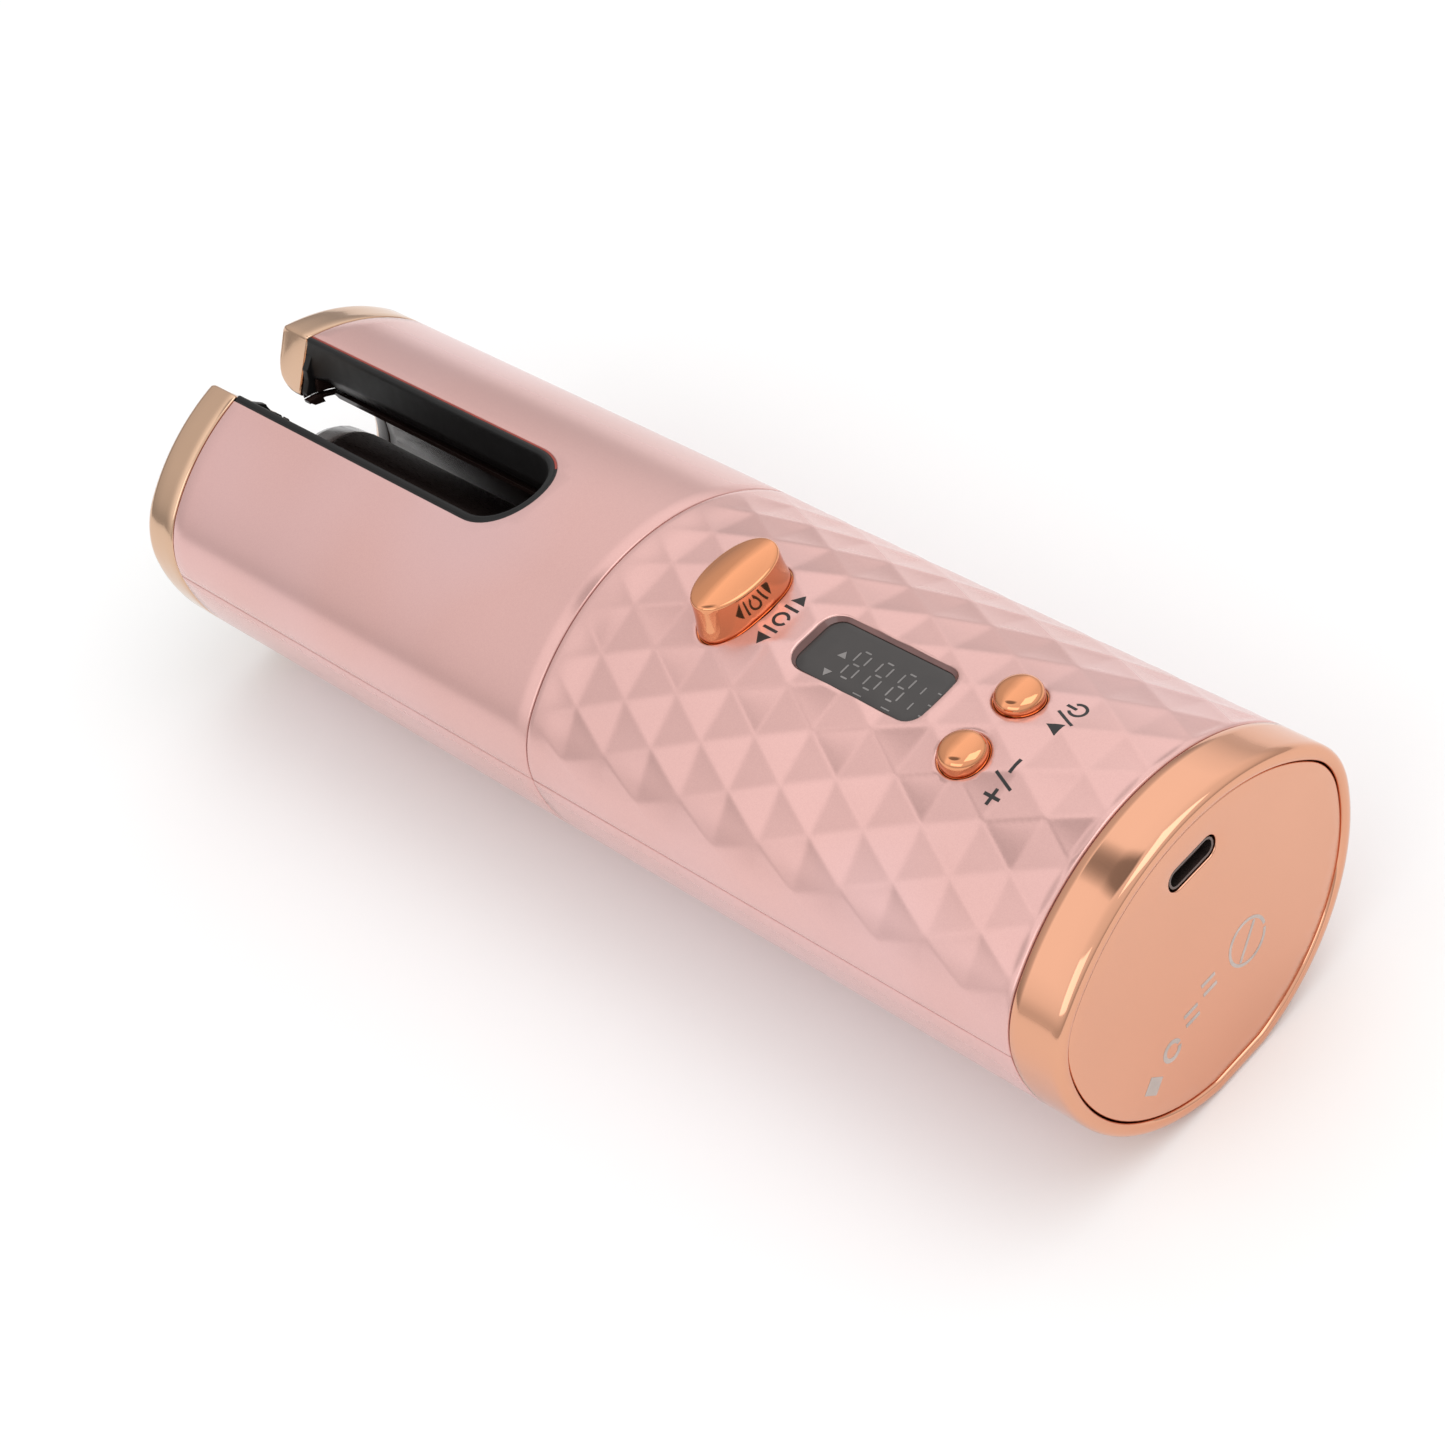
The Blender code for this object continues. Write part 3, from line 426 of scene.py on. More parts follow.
def upright(station):
    """A flat surface for patch() that faces the charging end, from (y, height) points."""
    return lambda a, b, inset: points_of(station - inset, a, b)


def stands_for(piece, body, slot, *nodes):
    """Puts a piece on a body and hides the CAD nodes that it replaces. The slot argument is not used."""
    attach(piece, body)
    if nodes:
        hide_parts(*nodes)
    return piece


# ------------ materials


class Nodes:
    """Short calls for building the node tree of a world or a material."""

    def __init__(self, owner):
        owner.use_nodes = True
        self.tree = owner.node_tree

    def add(self, kind, **settings):
        node = self.tree.nodes.new(kind)
        for key, value in settings.items():
            setattr(node, key, value)
        return node

    def link(self, source, target):
        self.tree.links.new(source, target)

    def ramp(self, value, stops):
        node = self.add("ShaderNodeValToRGB")
        elements = node.color_ramp.elements
        while len(elements) < len(stops):
            elements.new(0.5)
        for element, (position, colour) in zip(elements, stops):
            element.position = position
            element.color = (*colour, 1.0)
        self.link(value, node.inputs["Fac"])
        return node.outputs["Color"]


class Tree(Nodes):
    """A node material in the object's own coordinates."""

    def __init__(self, name):
        self.material = bpy.data.materials.new(name)
        super().__init__(self.material)
        self.shader = self.tree.nodes["Principled BSDF"]
        self.where = self.add("ShaderNodeTexCoord").outputs["Object"]

    def put(self, **values):
        """Constant values on the shader's own sockets."""
        for key, value in values.items():
            self.shader.inputs[key.replace("_", " ")].default_value = value

    def noise(self, scale, detail=3.0, stretch=None):
        node = self.add("ShaderNodeTexNoise")
        node.inputs["Scale"].default_value = scale
        node.inputs["Detail"].default_value = detail
        self.link(self.stretched(stretch) if stretch else self.where, node.inputs["Vector"])
        return node.outputs["Fac"]

    def stretched(self, stretch):
        mapping = self.add("ShaderNodeMapping")
        mapping.inputs["Scale"].default_value = stretch
        self.link(self.where, mapping.inputs["Vector"])
        return mapping.outputs["Vector"]

    def cells(self, scale):
        node = self.add("ShaderNodeTexVoronoi")
        node.inputs["Scale"].default_value = scale
        self.link(self.where, node.inputs["Vector"])
        return node

    def scaled(self, value, low, high):
        node = self.add("ShaderNodeMapRange")
        node.inputs["To Min"].default_value = low
        node.inputs["To Max"].default_value = high
        self.link(value, node.inputs["Value"])
        return node.outputs["Result"]

    def mixed(self, share, first, second, blend="MIX"):
        node = self.add("ShaderNodeMix", data_type="RGBA", blend_type=blend)
        for socket, value in (("Factor", share), ("A", first), ("B", second)):
            inputs = [i for i in node.inputs if i.name == socket and i.enabled]
            if isinstance(value, bpy.types.NodeSocket):
                self.link(value, inputs[0])
            else:
                inputs[0].default_value = value if isinstance(value, float) else (*value, 1.0)
        return [o for o in node.outputs if o.enabled][0]

    def bump(self, height, strength, distance):
        node = self.add("ShaderNodeBump")
        node.inputs["Strength"].default_value = strength
        node.inputs["Distance"].default_value = distance
        self.link(height, node.inputs["Height"])
        self.link(node.outputs["Normal"], self.shader.inputs["Normal"])

    def colour(self, value):
        self.link(value, self.shader.inputs["Base Color"])

    def roughness(self, value):
        self.link(value, self.shader.inputs["Roughness"])


def tint(colour, factor):
    """A colour made darker or lighter."""
    return tuple(min(1.0, c * factor) for c in colour)


def pearl(name, base, painted_sheen_tint):
    """Pearl lacquer: fine flakes under a clear satin coat, with random patches of painted lavender sheen.
    """
    t = Tree(name)
    broad = t.noise(18.0, 2.0)
    soft = t.ramp(broad, [(0.35, tint(base, 0.965)), (0.65, tint(base, 1.03))])
    flakes = t.cells(9000.0)
    sparkle = t.ramp(flakes.outputs["Color"], [(0.0, (0.95, 0.94, 0.95)), (1.0, (1.04, 1.05, 1.05))])
    lacquer = t.mixed(1.0, soft, sparkle, "MULTIPLY")
    # Painted sheen: lavender patches, placed by noise, stand in for the pearl's sheen shifting with the
    # light
    painted_sheen_patches = t.ramp(t.noise(26.0, 1.0), [(0.45, (0.0, 0.0, 0.0)), (0.7, (0.3, 0.3, 0.3))])
    t.colour(t.mixed(painted_sheen_patches, lacquer, painted_sheen_tint))
    t.roughness(t.scaled(t.noise(1500.0, 2.0), 0.19, 0.25))
    t.put(Metallic=0.6, Coat_Weight=0.2, Coat_Roughness=0.2, IOR=1.45)
    t.bump(t.noise(2600.0, 2.0), 0.05, 0.00005)
    return t.material


def plated(name, base, rough, scratch=0.02):
    """Bright plating: faint waviness of the moulding, hairline marks and small roughness changes."""
    t = Tree(name)
    tone = t.ramp(t.noise(30.0, 2.0), [(0.3, tint(base, 0.97)), (0.7, tint(base, 1.02))])
    t.colour(tone)
    marks = t.noise(420.0, 4.0, (1.0, 9.0, 1.0))
    t.roughness(t.scaled(marks, rough * 0.75, rough * 1.3))
    t.put(Metallic=1.0)
    t.bump(t.noise(60.0, 1.0), scratch, 0.0006)
    return t.material


def moulded(name, base, rough, grain=1800.0, depth=0.08, coat=0.0, wear=1.18, gloss=0.5):
    """Moulded plastic or plain metal: mottled colour, uneven gloss and a fine grain."""
    t = Tree(name)
    t.colour(t.ramp(t.noise(220.0, 4.0), [(0.3, tint(base, 0.88)), (0.72, tint(base, wear))]))
    t.roughness(t.scaled(t.noise(600.0, 3.0), rough * 0.85, min(1.0, rough * 1.2)))
    t.put(Coat_Weight=coat, Coat_Roughness=0.1, Specular_IOR_Level=gloss)
    t.bump(t.noise(grain, 3.0), depth, 0.00008)
    return t.material


def brushed(name, base, rough, stretch):
    """Metal or coating with fine lines along one direction."""
    t = Tree(name)
    lines = t.noise(900.0, 3.0, stretch)
    t.colour(t.ramp(lines, [(0.25, tint(base, 0.82)), (0.75, tint(base, 1.2))]))
    t.roughness(t.scaled(lines, rough * 0.8, rough * 1.25))
    t.put(Metallic=0.9)
    t.bump(lines, 0.06, 0.00006)
    return t.material


def circuit(name, base):
    """Solder mask with copper tracks showing through it."""
    t = Tree(name)
    tracks = t.cells(420.0)
    tracks.distance = "MANHATTAN"
    t.colour(t.ramp(tracks.outputs["Distance"], [(0.35, tint(base, 0.8)), (0.5, tint(base, 1.7))]))
    t.roughness(t.scaled(tracks.outputs["Distance"], 0.3, 0.5))
    t.put(Coat_Weight=0.4)
    t.bump(tracks.outputs["Distance"], 0.2, 0.0001)
    return t.material


# The second colour is the painted lavender sheen of the pearl
PEARL = pearl("pearl_pink_lacquer", (0.72, 0.43, 0.395), (0.78, 0.55, 0.57))
CHAMPAGNE = plated("champagne_plating", (0.68, 0.45, 0.31), 0.11)
ROSE_GOLD = plated("rose_gold_plating", (0.74, 0.375, 0.24), 0.08)
ROSE_PLATE = plated("rose_gold_satin", (0.74, 0.38, 0.255), 0.2)
COPPER = plated("copper_button_plating", (0.78, 0.33, 0.165), 0.06)
LINER = moulded("liner_satin_black", (0.0085, 0.0078, 0.0078), 0.42, 2600.0, 0.12, gloss=0.28)
CHAMBER = moulded("chamber_gloss_brown", (0.022, 0.012, 0.010), 0.2, 900.0, 0.04, gloss=0.42)
BARREL = brushed("barrel_ceramic_coat", (0.045, 0.030, 0.027), 0.28, (1.0, 14.0, 14.0))
CAP = moulded("cap_gloss_brown", (0.055, 0.040, 0.036), 0.2, 1500.0, 0.05, coat=0.4)
LENS = moulded("smoked_window", (0.036, 0.030, 0.028), 0.1, 700.0, 0.01, wear=1.06)
SEGMENT = moulded("display_segments", (0.20, 0.185, 0.18), 0.35, 1200.0, 0.02)
RECESS = moulded("recess_rosy_gloss", (0.15, 0.072, 0.065), 0.15, 900.0, 0.02)
RATING_INK = moulded("rating_grey_ink", (0.50, 0.42, 0.38), 0.45, 2500.0, 0.05)
# Painted shade: dark red for the shaded gap at the shell's edge along the slot's far side
SEAM_SHADE_RED = moulded("seam_painted_shade_red", (0.30, 0.034, 0.018), 0.4, 1500.0, 0.03)
INK = moulded("printed_ink", (0.012, 0.011, 0.011), 0.5, 3500.0, 0.1)
STEEL = brushed("plain_steel", (0.50, 0.50, 0.52), 0.3, (1.0, 12.0, 12.0))
SOCKET = brushed("socket_dark_nickel", (0.16, 0.12, 0.11), 0.28, (1.0, 12.0, 12.0))
INSIDE = {
    "heat_block": brushed("extruded_aluminium", (0.62, 0.62, 0.64), 0.35, (12.0, 1.0, 1.0)),
    "steel": STEEL,
    "brass": brushed("turned_brass", (0.72, 0.50, 0.22), 0.32, (1.0, 9.0, 9.0)),
    "board_green": circuit("solder_mask", (0.02, 0.15, 0.07)),
    "cell_blue": moulded("cell_sleeve", (0.04, 0.17, 0.42), 0.35, 1200.0, 0.03, coat=0.3),
    "white_nylon": moulded("white_nylon", (0.72, 0.71, 0.66), 0.45),
    "black_nylon": moulded("black_nylon", (0.028, 0.028, 0.03), 0.5),
    "ceramic": moulded("fired_ceramic", (0.76, 0.74, 0.69), 0.6, 2500.0, 0.2),
    "pearl_pink": PEARL,
    "champagne_gold": CHAMPAGNE,
    "rose_gold": ROSE_GOLD,
    "liner_black": LINER,
    "chamber_brown": CHAMBER,
    "barrel_coating": BARREL,
    "smoked_lens": LENS,
}


def paint_frame():
    """Gives every CAD node the material of its slot."""
    for row in frame["record"]["subparts"]:
        mesh = NODES[row["node"]].data
        mesh.materials.clear()
        mesh.materials.append(INSIDE[row["material_slot"]])


# ------------ the head


def radius_of_skin(angles, inset):
    """Distance from the chamber's axis to the inset skin, at angles from +Z towards +Y."""
    run = np.linspace(-HALF_RUN, HALF_RUN, 4001)
    y, z = skin(run, inset)
    around = np.arctan2(y, z - AXIS_Z)
    order = np.argsort(around)
    wrapped = (np.asarray(angles) + math.pi) % (2 * math.pi) - math.pi
    return np.interp(wrapped, around[order], np.hypot(y, z - AXIS_Z)[order], period=2 * math.pi)


# Inside this radius the tip ring's bore is dark, like the chamber
BORE_RADIUS = 16.3

# Rounding of the prongs' edges, its steps, and the number of sections round the rest of the ring
PRONG_EDGE = 0.55
PRONG_STEPS = 4
RING_STEPS = 150

# The gap between the prongs: heights where it starts and stops to widen, and half its width there
GAP_HEIGHTS = (44.5, 53.0)
GAP_HALVES = (2.6, 8.2)

# Closed profile of the tip ring: station, share of the skin, inset of the skin, radius of the bore
RING_PROFILE = [
    (7.25, 1, 0.9, 0), (7.22, 1, 0.28, 0), (7.12, 1, 0.08, 0), (6.85, 1, 0.0, 0), (5.0, 1, 0.0, 0),
    (3.0, 1, 0.0, 0), (1.3, 1, 0.0, 0), (0.75, 1, 0.08, 0), (0.35, 1, 0.3, 0), (0.1, 1, 0.62, 0),
    (0.0, 1, 1.05, 0), (0.02, 0.5, 2.0, 22.0), (0.06, 0, 0, 20.2), (0.25, 0, 0, 19.1), (0.6, 0, 0, 18.2),
    (1.2, 0, 0, 17.3), (2.2, 0, 0, 16.6), (3.4, 0, 0, 16.05), (4.6, 0, 0, 15.7), (5.6, 0, 0, 15.52),
    (6.4, 0, 0, 15.5), (7.1, 0, 0, 15.5), (7.25, 0, 0, 15.65),
]


def gap_half(z):
    """Half the width of the gap between the prongs, at a height."""
    return np.interp(z, GAP_HEIGHTS, GAP_HALVES)


def ring_end_angles(clearance):
    """The angle at which each line of the ring's profile meets the gap between the prongs."""
    angles = np.linspace(0.0, math.radians(60), 3001)
    ends = []
    for _, share, inset, radius in RING_PROFILE:
        reach = share * radius_of_skin(angles, inset) + (1 - share) * radius
        beyond = reach * np.sin(angles) - gap_half(AXIS_Z + reach * np.cos(angles)) - clearance
        ends.append(float(np.interp(0.0, beyond, angles)))
    return np.array(ends)


def ring_section(angles, shrink):
    """A section of the ring: each line of its profile at its own angle, drawn in towards the middle."""
    reach = []
    for angle, (_, share, inset, radius) in zip(angles, RING_PROFILE):
        reach.append(share * radius_of_skin([angle], inset)[0] + (1 - share) * radius)
    section = np.array([[row[0] for row in RING_PROFILE], reach])
    low, high = section.min(1), section.max(1)
    middle = ((low + high) / 2)[:, None]
    factor = (1 - shrink / ((high - low) / 2))[:, None]
    along, reach = middle + (section - middle) * factor
    return points_of(along, reach * np.sin(angles), AXIS_Z + reach * np.cos(angles))


def tip_ring():
    """Polished ring with its funnel and the two rounded prongs beside the slot."""
    turns = [math.pi / 2 * i / PRONG_STEPS for i in range(PRONG_STEPS, -1, -1)]
    ends = [ring_end_angles(PRONG_EDGE * (1 - math.sin(turn))) for turn in turns]
    prong = [(start, PRONG_EDGE * (1 - math.cos(turn))) for turn, start in zip(turns, ends)]
    plain = ends[-1]
    middle = [(plain + (2 * math.pi - 2 * plain) * i / RING_STEPS, 0.0) for i in range(1, RING_STEPS)]
    mirrored = [(2 * math.pi - start, shrink) for start, shrink in prong[::-1]]
    sections = [ring_section(angles, shrink) for angles, shrink in prong + middle + mirrored]
    piece = swept("tip_ring_polished", sections, CHAMPAGNE, closed_path=False, smooth_angle=50)
    piece.data.materials.append(CHAMBER)
    for face in piece.data.polygons:
        if math.hypot(face.center.y, face.center.z - AXIS_Z * MM) < BORE_RADIUS * MM:
            face.material_index = 1
    stands_for(piece, "body", "champagne_gold", "tip_ring")


def slot_path(half, start, straight=14, steps=28):
    """Plan points (station, y) round the slot from its near side to its far side."""
    near = [(start + (SLOT_ROUND - start) * i / straight, -half) for i in range(straight)]
    bend = [math.pi * (-0.5 + i / steps) for i in range(steps + 1)]
    round_end = [(SLOT_ROUND + half * math.cos(a), half * math.sin(a)) for a in bend]
    return near + round_end + [(s, -y) for s, y in near[::-1]]


def back_shell(name, ends, node):
    """The lower shell between two stations, from one parting line to the other."""
    low, high = PARTING_RUN + PARTING_GAP, 2 * HALF_RUN - PARTING_RUN - PARTING_GAP
    outline = [(ends[0], low), (ends[1], low), (ends[1], high), (ends[0], high)]
    shell = patch(name, [outline], smooth_skin, WALL, PEARL, (4.0, 1.4), 0.2, 1.4)
    stands_for(shell, "body", "pearl_pink", node)


def head_shells():
    """The pink shells of the head; the upper one has the hair slot."""
    start, end = HEAD_ENDS
    outline = [(start, -PARTING_RUN)]
    outline += [(s, float(run_of(y))) for s, y in slot_path(SLOT_HALF, start)]
    outline += [(start, PARTING_RUN), (end, PARTING_RUN), (end, -PARTING_RUN)]
    front = patch("head_front_lacquered", [outline], smooth_skin, WALL, PEARL, (3.0, 1.2), 0.25, 1.2)
    stands_for(front, "body", "pearl_pink", "head_front_shell")
    back_shell("head_back_lacquered", HEAD_ENDS, "head_back_shell")


# Liner wall, outside to inside: half width, inset from the skin or None, height or None
LINER_PROFILE = [
    (8.95, None, 42.7), (8.95, 0.55, None), (8.88, 0.28, None), (8.70, 0.10, None),
    (8.40, 0.03, None), (8.10, 0.08, None), (7.85, 0.26, None), (7.68, 0.55, None),
    (7.58, 1.1, None), (6.72, None, 47.9), (6.62, None, 47.55), (6.68, None, 47.15),
    (7.80, None, 43.5), (8.10, None, 43.0),
]

# Behind the far prong (y, z): the liner's arm, and the thin web and thicker rib beside it
ARM = [(8.8, 53.2), (4.7, 49.3), (4.7, 48.9), (4.3, 47.4), (3.0, 45.5), (2.95, 45.0), (4.9, 44.55)]
ARM += [(5.0, 45.6), (5.5, 46.8), (6.6, 47.4), (8.8, 47.0)]
WEB = [(3.0, 45.5), (2.75, 44.35), (4.7, 43.85), (6.5, 43.15), (7.7, 42.55), (8.7, 41.95), (8.7, 48.0)]
WEB += [(6.0, 47.8), (4.4, 47.3)]
RIB = [(4.8, 44.6), (6.5, 43.97), (7.7, 43.4), (8.7, 42.85), (8.7, 48.0), (6.0, 47.8), (5.2, 46.2)]

# Plates behind each prong: kind, outline, station of the face away from the tip, thickness, material
LINER_PLATES = (
    ("arm", ARM, 8.9, 1.28, LINER),
    ("web", WEB, 8.0, 0.38, CHAMBER),
    ("rib", RIB, 9.5, 1.8, CHAMBER),
)

# Near the mouth the wall's inner lines bend towards the middle, by shares that depend on the height
LINER_START = 7.6
BEND_INSIDE = 8.0
MOUTH_BEND = 1.9
BEND_STATIONS = (7.6, 13.0)
BEND_HEIGHTS = (43.5, 47.0, 48.8, 52.8)
BEND_SHARES = (0.0, 1.0, 1.0, 0.0)

# Section of the seam strip between liner and shell: half width and inset. It is red on the far side only,
# as painted shade in the gap at the shell's edge
SEAM_START = 7.7
SEAM_PROFILE = ((9.17, 1.2), (9.17, 0.15), (8.82, 0.15), (8.97, 1.2))
SEAM_SHADE_FROM = 6.5


def slot_liner():
    """Black wall round the slot, down to the chamber's tube."""
    lines = []
    for half, inset, height in LINER_PROFILE:
        path = np.array(slot_path(half, LINER_START))
        y = path[:, 1]
        over_tube = AXIS_Z + np.sqrt(TUBE_RADIUS**2 - y**2)
        z = top_z(y, inset) if height is None else np.maximum(height, over_tube)
        bend = MOUTH_BEND * (1 - fade(path[:, 0], *BEND_STATIONS)) * (half < BEND_INSIDE)
        bend = bend * np.interp(z, BEND_HEIGHTS, BEND_SHARES)
        lines.append(points_of(path[:, 0], y - np.sign(y) * bend, z))
    wall = lofted("slot_liner_wall", lines, LINER, closed_path=False)
    stands_for(wall, "body", "liner_black", "slot_liner")


def liner_plates():
    """The arm, web and rib behind the near prong and, as mirror images, behind the far one."""
    for side, sign in (("near", -1), ("far", 1)):
        for kind, shape, back, depth, material in LINER_PLATES:
            outline = [(sign * y, z) for y, z in shape]
            name = f"liner_{kind}_{side}"
            plate = patch(name, [outline], upright(back), depth, material, (0.8, 0.8), 0.18, 0.4)
            stands_for(plate, "body", "liner_black")


def seam_line():
    """Thin seam strip round the slot, painted dark red along its far side as shade in the gap, and liner
    black elsewhere.
    """
    lines = []
    for half, inset in SEAM_PROFILE:
        path = np.array(slot_path(half, SEAM_START))
        lines.append(points_of(path[:, 0], path[:, 1], top_z(path[:, 1], inset)))
    seam = lofted("slot_seam_shade_line", lines, SEAM_SHADE_RED, closed_path=False)
    seam.data.materials.append(LINER)
    # Painted shade: faces on the far side keep the dark red, and the rest take the liner black
    for face in seam.data.polygons:
        face.material_index = int(face.center.y < SEAM_SHADE_FROM * MM)
    stands_for(seam, "body", "pearl_pink")


def chamber():
    """The CAD pieces seen through the slot and the mouth, with softened edges."""
    for node, body, slot, material, bevel in (
        ("chamber_tube", "body", "chamber_brown", CHAMBER, 0.1),
        ("wrap_rotor", "rotor", "chamber_brown", CHAMBER, 0.25),
        ("heating_barrel", "body", "barrel_coating", BARREL, 0.15),
        ("barrel_cap", "body", "black_nylon", CAP, 0),
    ):
        stands_for(refined(node, node + "_finished", material, bevel), body, slot, node)


# ------------ the handle

# Openings: stations, half sizes along and across, and the distance between points of the facets
START_S = 121.5
START_HALF = (5.2, 9.1)
DISPLAY_S = 148.0
DISPLAY_HALF = (12.8, 5.9)
DISPLAY_CORNER = 3.0
BUTTON_S = 170.6
BUTTON_Y = 6.1
BUTTON_RADIUS = 4.0
FACET_SPACING = 0.55
TRIM_GAP = 0.02
TRIM_WIDTH = 0.16

# The oval button from foot to rim: half length, half width, height. Then its rounding and its dome
START_ROWS = [(6.1, 10.0, 48.8), (6.1, 10.0, 50.0), (4.9, 8.8, 50.05), (4.9, 8.8, 53.6), (4.88, 8.7, 54.5)]
START_ROWS += [(4.84, 8.5, 55.5), (4.8, 8.34, 56.7), (4.78, 8.24, 57.9), (4.8, 8.18, 58.9)]
START_ROWS += [(4.82, 8.16, 59.4)]
START_EDGE = 0.55
START_DOME = (59.94, 0.74)

# The round buttons from foot to top: radius and height
ROUND_ROWS = [(4.7, 48.6), (4.7, 49.8), (3.72, 49.85), (3.72, 54.2), (3.68, 54.6), (3.56, 54.95)]
ROUND_ROWS += [(3.35, 55.25), (3.05, 55.48), (2.65, 55.64), (2.1, 55.75), (1.4, 55.83), (0.7, 55.88)]
ROUND_ROWS += [(0.1, 55.9)]

# The window: height, crown, and half size less than that of its opening
DISPLAY_TOP = 53.2
DISPLAY_CROWN = 0.1
DISPLAY_GAP = 0.25

# Strokes beside and below the digits: station, y, half length, half width
DISPLAY_STROKES = [(157.1, 0.45, 0.12, 0.7), (157.4, -2.75, 0.12, 0.7), (159.6, 1.2, 0.3, 0.12)]
DISPLAY_STROKES += [(159.8, -1.25, 0.3, 0.12), (159.9, -3.5, 0.3, 0.12)]
DISPLAY_STROKES += [(149.0, -5.0, 0.8, 0.1), (154.5, -5.0, 0.8, 0.1)]

# Stations of the symbols printed beside the oval button and behind the round ones
START_SYMBOLS = 129.35
ROUND_SYMBOLS = 178.6
PRINT_LIFT = 0.03


def handle_shells():
    """The pink shells of the handle; the upper one has the facets and the openings for the controls."""
    start, end = HANDLE_ENDS
    outline = [(start, -PARTING_RUN), (start, PARTING_RUN), (end, PARTING_RUN), (end, -PARTING_RUN)]
    plan = [shifted(superellipse(*START_HALF, 2.0, 72), START_S, 0.0)]
    plan.append(shifted(rounded_box(*DISPLAY_HALF, DISPLAY_CORNER), DISPLAY_S, 0.0))
    for y in (-BUTTON_Y, BUTTON_Y):
        plan.append(shifted(superellipse(BUTTON_RADIUS, BUTTON_RADIUS, 2.0, 56), BUTTON_S, y))
    loops = [outline] + [[(s, float(run_of(y))) for s, y in loop] for loop in plan]
    spacing = [FACET_SPACING * 1] * 2
    front = patch("handle_front_lacquered", loops, faceted_skin, WALL, PEARL, spacing, 0.35, 0.6, 60)
    stands_for(front, "body", "pearl_pink", "handle_front_shell")
    back_shell("handle_back_lacquered", HANDLE_ENDS, "handle_back_shell")


def stacked(name, centre, rows, material, power, steps):
    """A button: level ovals (half length, half width, height), closed at the foot and the top."""
    sections = []
    for half_x, half_y, z in rows:
        x, y = superellipse(half_x, half_y, power, steps).T
        sections.append(points_of(x + centre[0], y + centre[1], z))
    return swept(name, sections, material, closed_path=False, smooth_angle=45)


def buttons():
    """The tall oval button and the two round ones."""
    half_x, half_y, rim = START_ROWS[-1]
    rows = list(START_ROWS)
    for i in range(1, 7):
        angle = math.pi / 2 * i / 7
        pull = START_EDGE * (1 - math.cos(angle))
        rows.append((half_x - pull, half_y - pull, rim + START_EDGE * math.sin(angle)))
    half_x, half_y = half_x - START_EDGE, half_y - START_EDGE
    foot, rise = START_DOME
    for i in range(1, 16):
        share = 1 - i / 16
        rows.append((half_x * share, half_y * share, foot + rise * (1 - share**2)))
    button = stacked("start_button_plated", (START_S, 0.0), rows, COPPER, 2.1, 96)
    stands_for(button, "start_button", "rose_gold", "start_button")
    rows = [(radius, radius, z) for radius, z in ROUND_ROWS]
    for name, y in (("power", BUTTON_Y), ("temperature", -BUTTON_Y)):
        piece = stacked(name + "_button_plated", (BUTTON_S, y), rows, COPPER, 2.0, 64)
        stands_for(piece, name + "_button", "rose_gold", name + "_button")


def well_trims():
    """Thin plated trim inside the button wells."""
    oval = superellipse(START_HALF[0] - TRIM_GAP, START_HALF[1] - TRIM_GAP, 2.0, 96)
    circle = superellipse(BUTTON_RADIUS - TRIM_GAP, BUTTON_RADIUS - TRIM_GAP, 2.0, 64)
    for name, loop, s, y in (
        ("start", oval, START_S, 0.0),
        ("power", circle, BUTTON_S, BUTTON_Y),
        ("temperature", circle, BUTTON_S, -BUTTON_Y),
    ):
        inner = moved_in(loop, TRIM_WIDTH)
        lines = []
        for flat, drop in ((loop, 2.2), (loop, 0.5), (inner, 0.56), (inner, 2.2)):
            across = flat[:, 1] + y
            lines.append(points_of(flat[:, 0] + s, across, top_z(across) - drop))
        stands_for(lofted(name + "_well_trim", lines, COPPER), "body", "rose_gold")


def display_frame():
    """The frame that slopes from the handle's skin down to the window."""
    box = rounded_box(DISPLAY_HALF[0] - TRIM_GAP, DISPLAY_HALF[1] - TRIM_GAP, DISPLAY_CORNER)
    outer = np.asarray(dense(box, 1.0))
    inner = moved_in(outer, 0.45) + np.array([0.2, -0.22])
    lines = []
    for flat, drop in ((outer, 2.4), (outer, 0.45), (inner, None), (inner, 2.4)):
        level = DISPLAY_TOP + 0.06 if drop is None else top_z(flat[:, 1]) - drop
        lines.append(points_of(flat[:, 0] + DISPLAY_S, flat[:, 1], level))
    stands_for(lofted("display_recess_frame", lines, RECESS), "body", "smoked_lens")


def window_surface(lift):
    """The window's slightly crowned top, as a surface for patch(), moved up by a lift."""
    return lambda a, b, inset: points_of(a, b, DISPLAY_TOP + lift - DISPLAY_CROWN * (b / 6) ** 2 - inset)


def display():
    """The smoked window with its digits, two arrows and strokes."""
    half_s, half_y = DISPLAY_HALF
    box = rounded_box(half_s - DISPLAY_GAP, half_y - DISPLAY_GAP, DISPLAY_CORNER - 0.2)
    outline = shifted(box, DISPLAY_S, 0.0)
    lens = patch("display_window", [outline], window_surface(0.0), 2.6, LENS, (1.5, 1.5), 0.25, 0.6)
    stands_for(lens, "body", "smoked_lens", "display_lens")
    bars = []
    for digit in range(3):
        bars += seven_bars(145.0 + 4.4 * digit, -0.75, 2.1, 5.5)
    bars += [bar(*stroke) for stroke in DISPLAY_STROKES]
    for y, sign in ((-0.15, 1), (-3.95, -1)):
        bars.append([(141.9, y + 0.75 * sign), (141.1, y - 0.5 * sign), (142.7, y - 0.5 * sign)])
    flat_pieces("display_marks", bars, window_surface(PRINT_LIFT), SEGMENT)


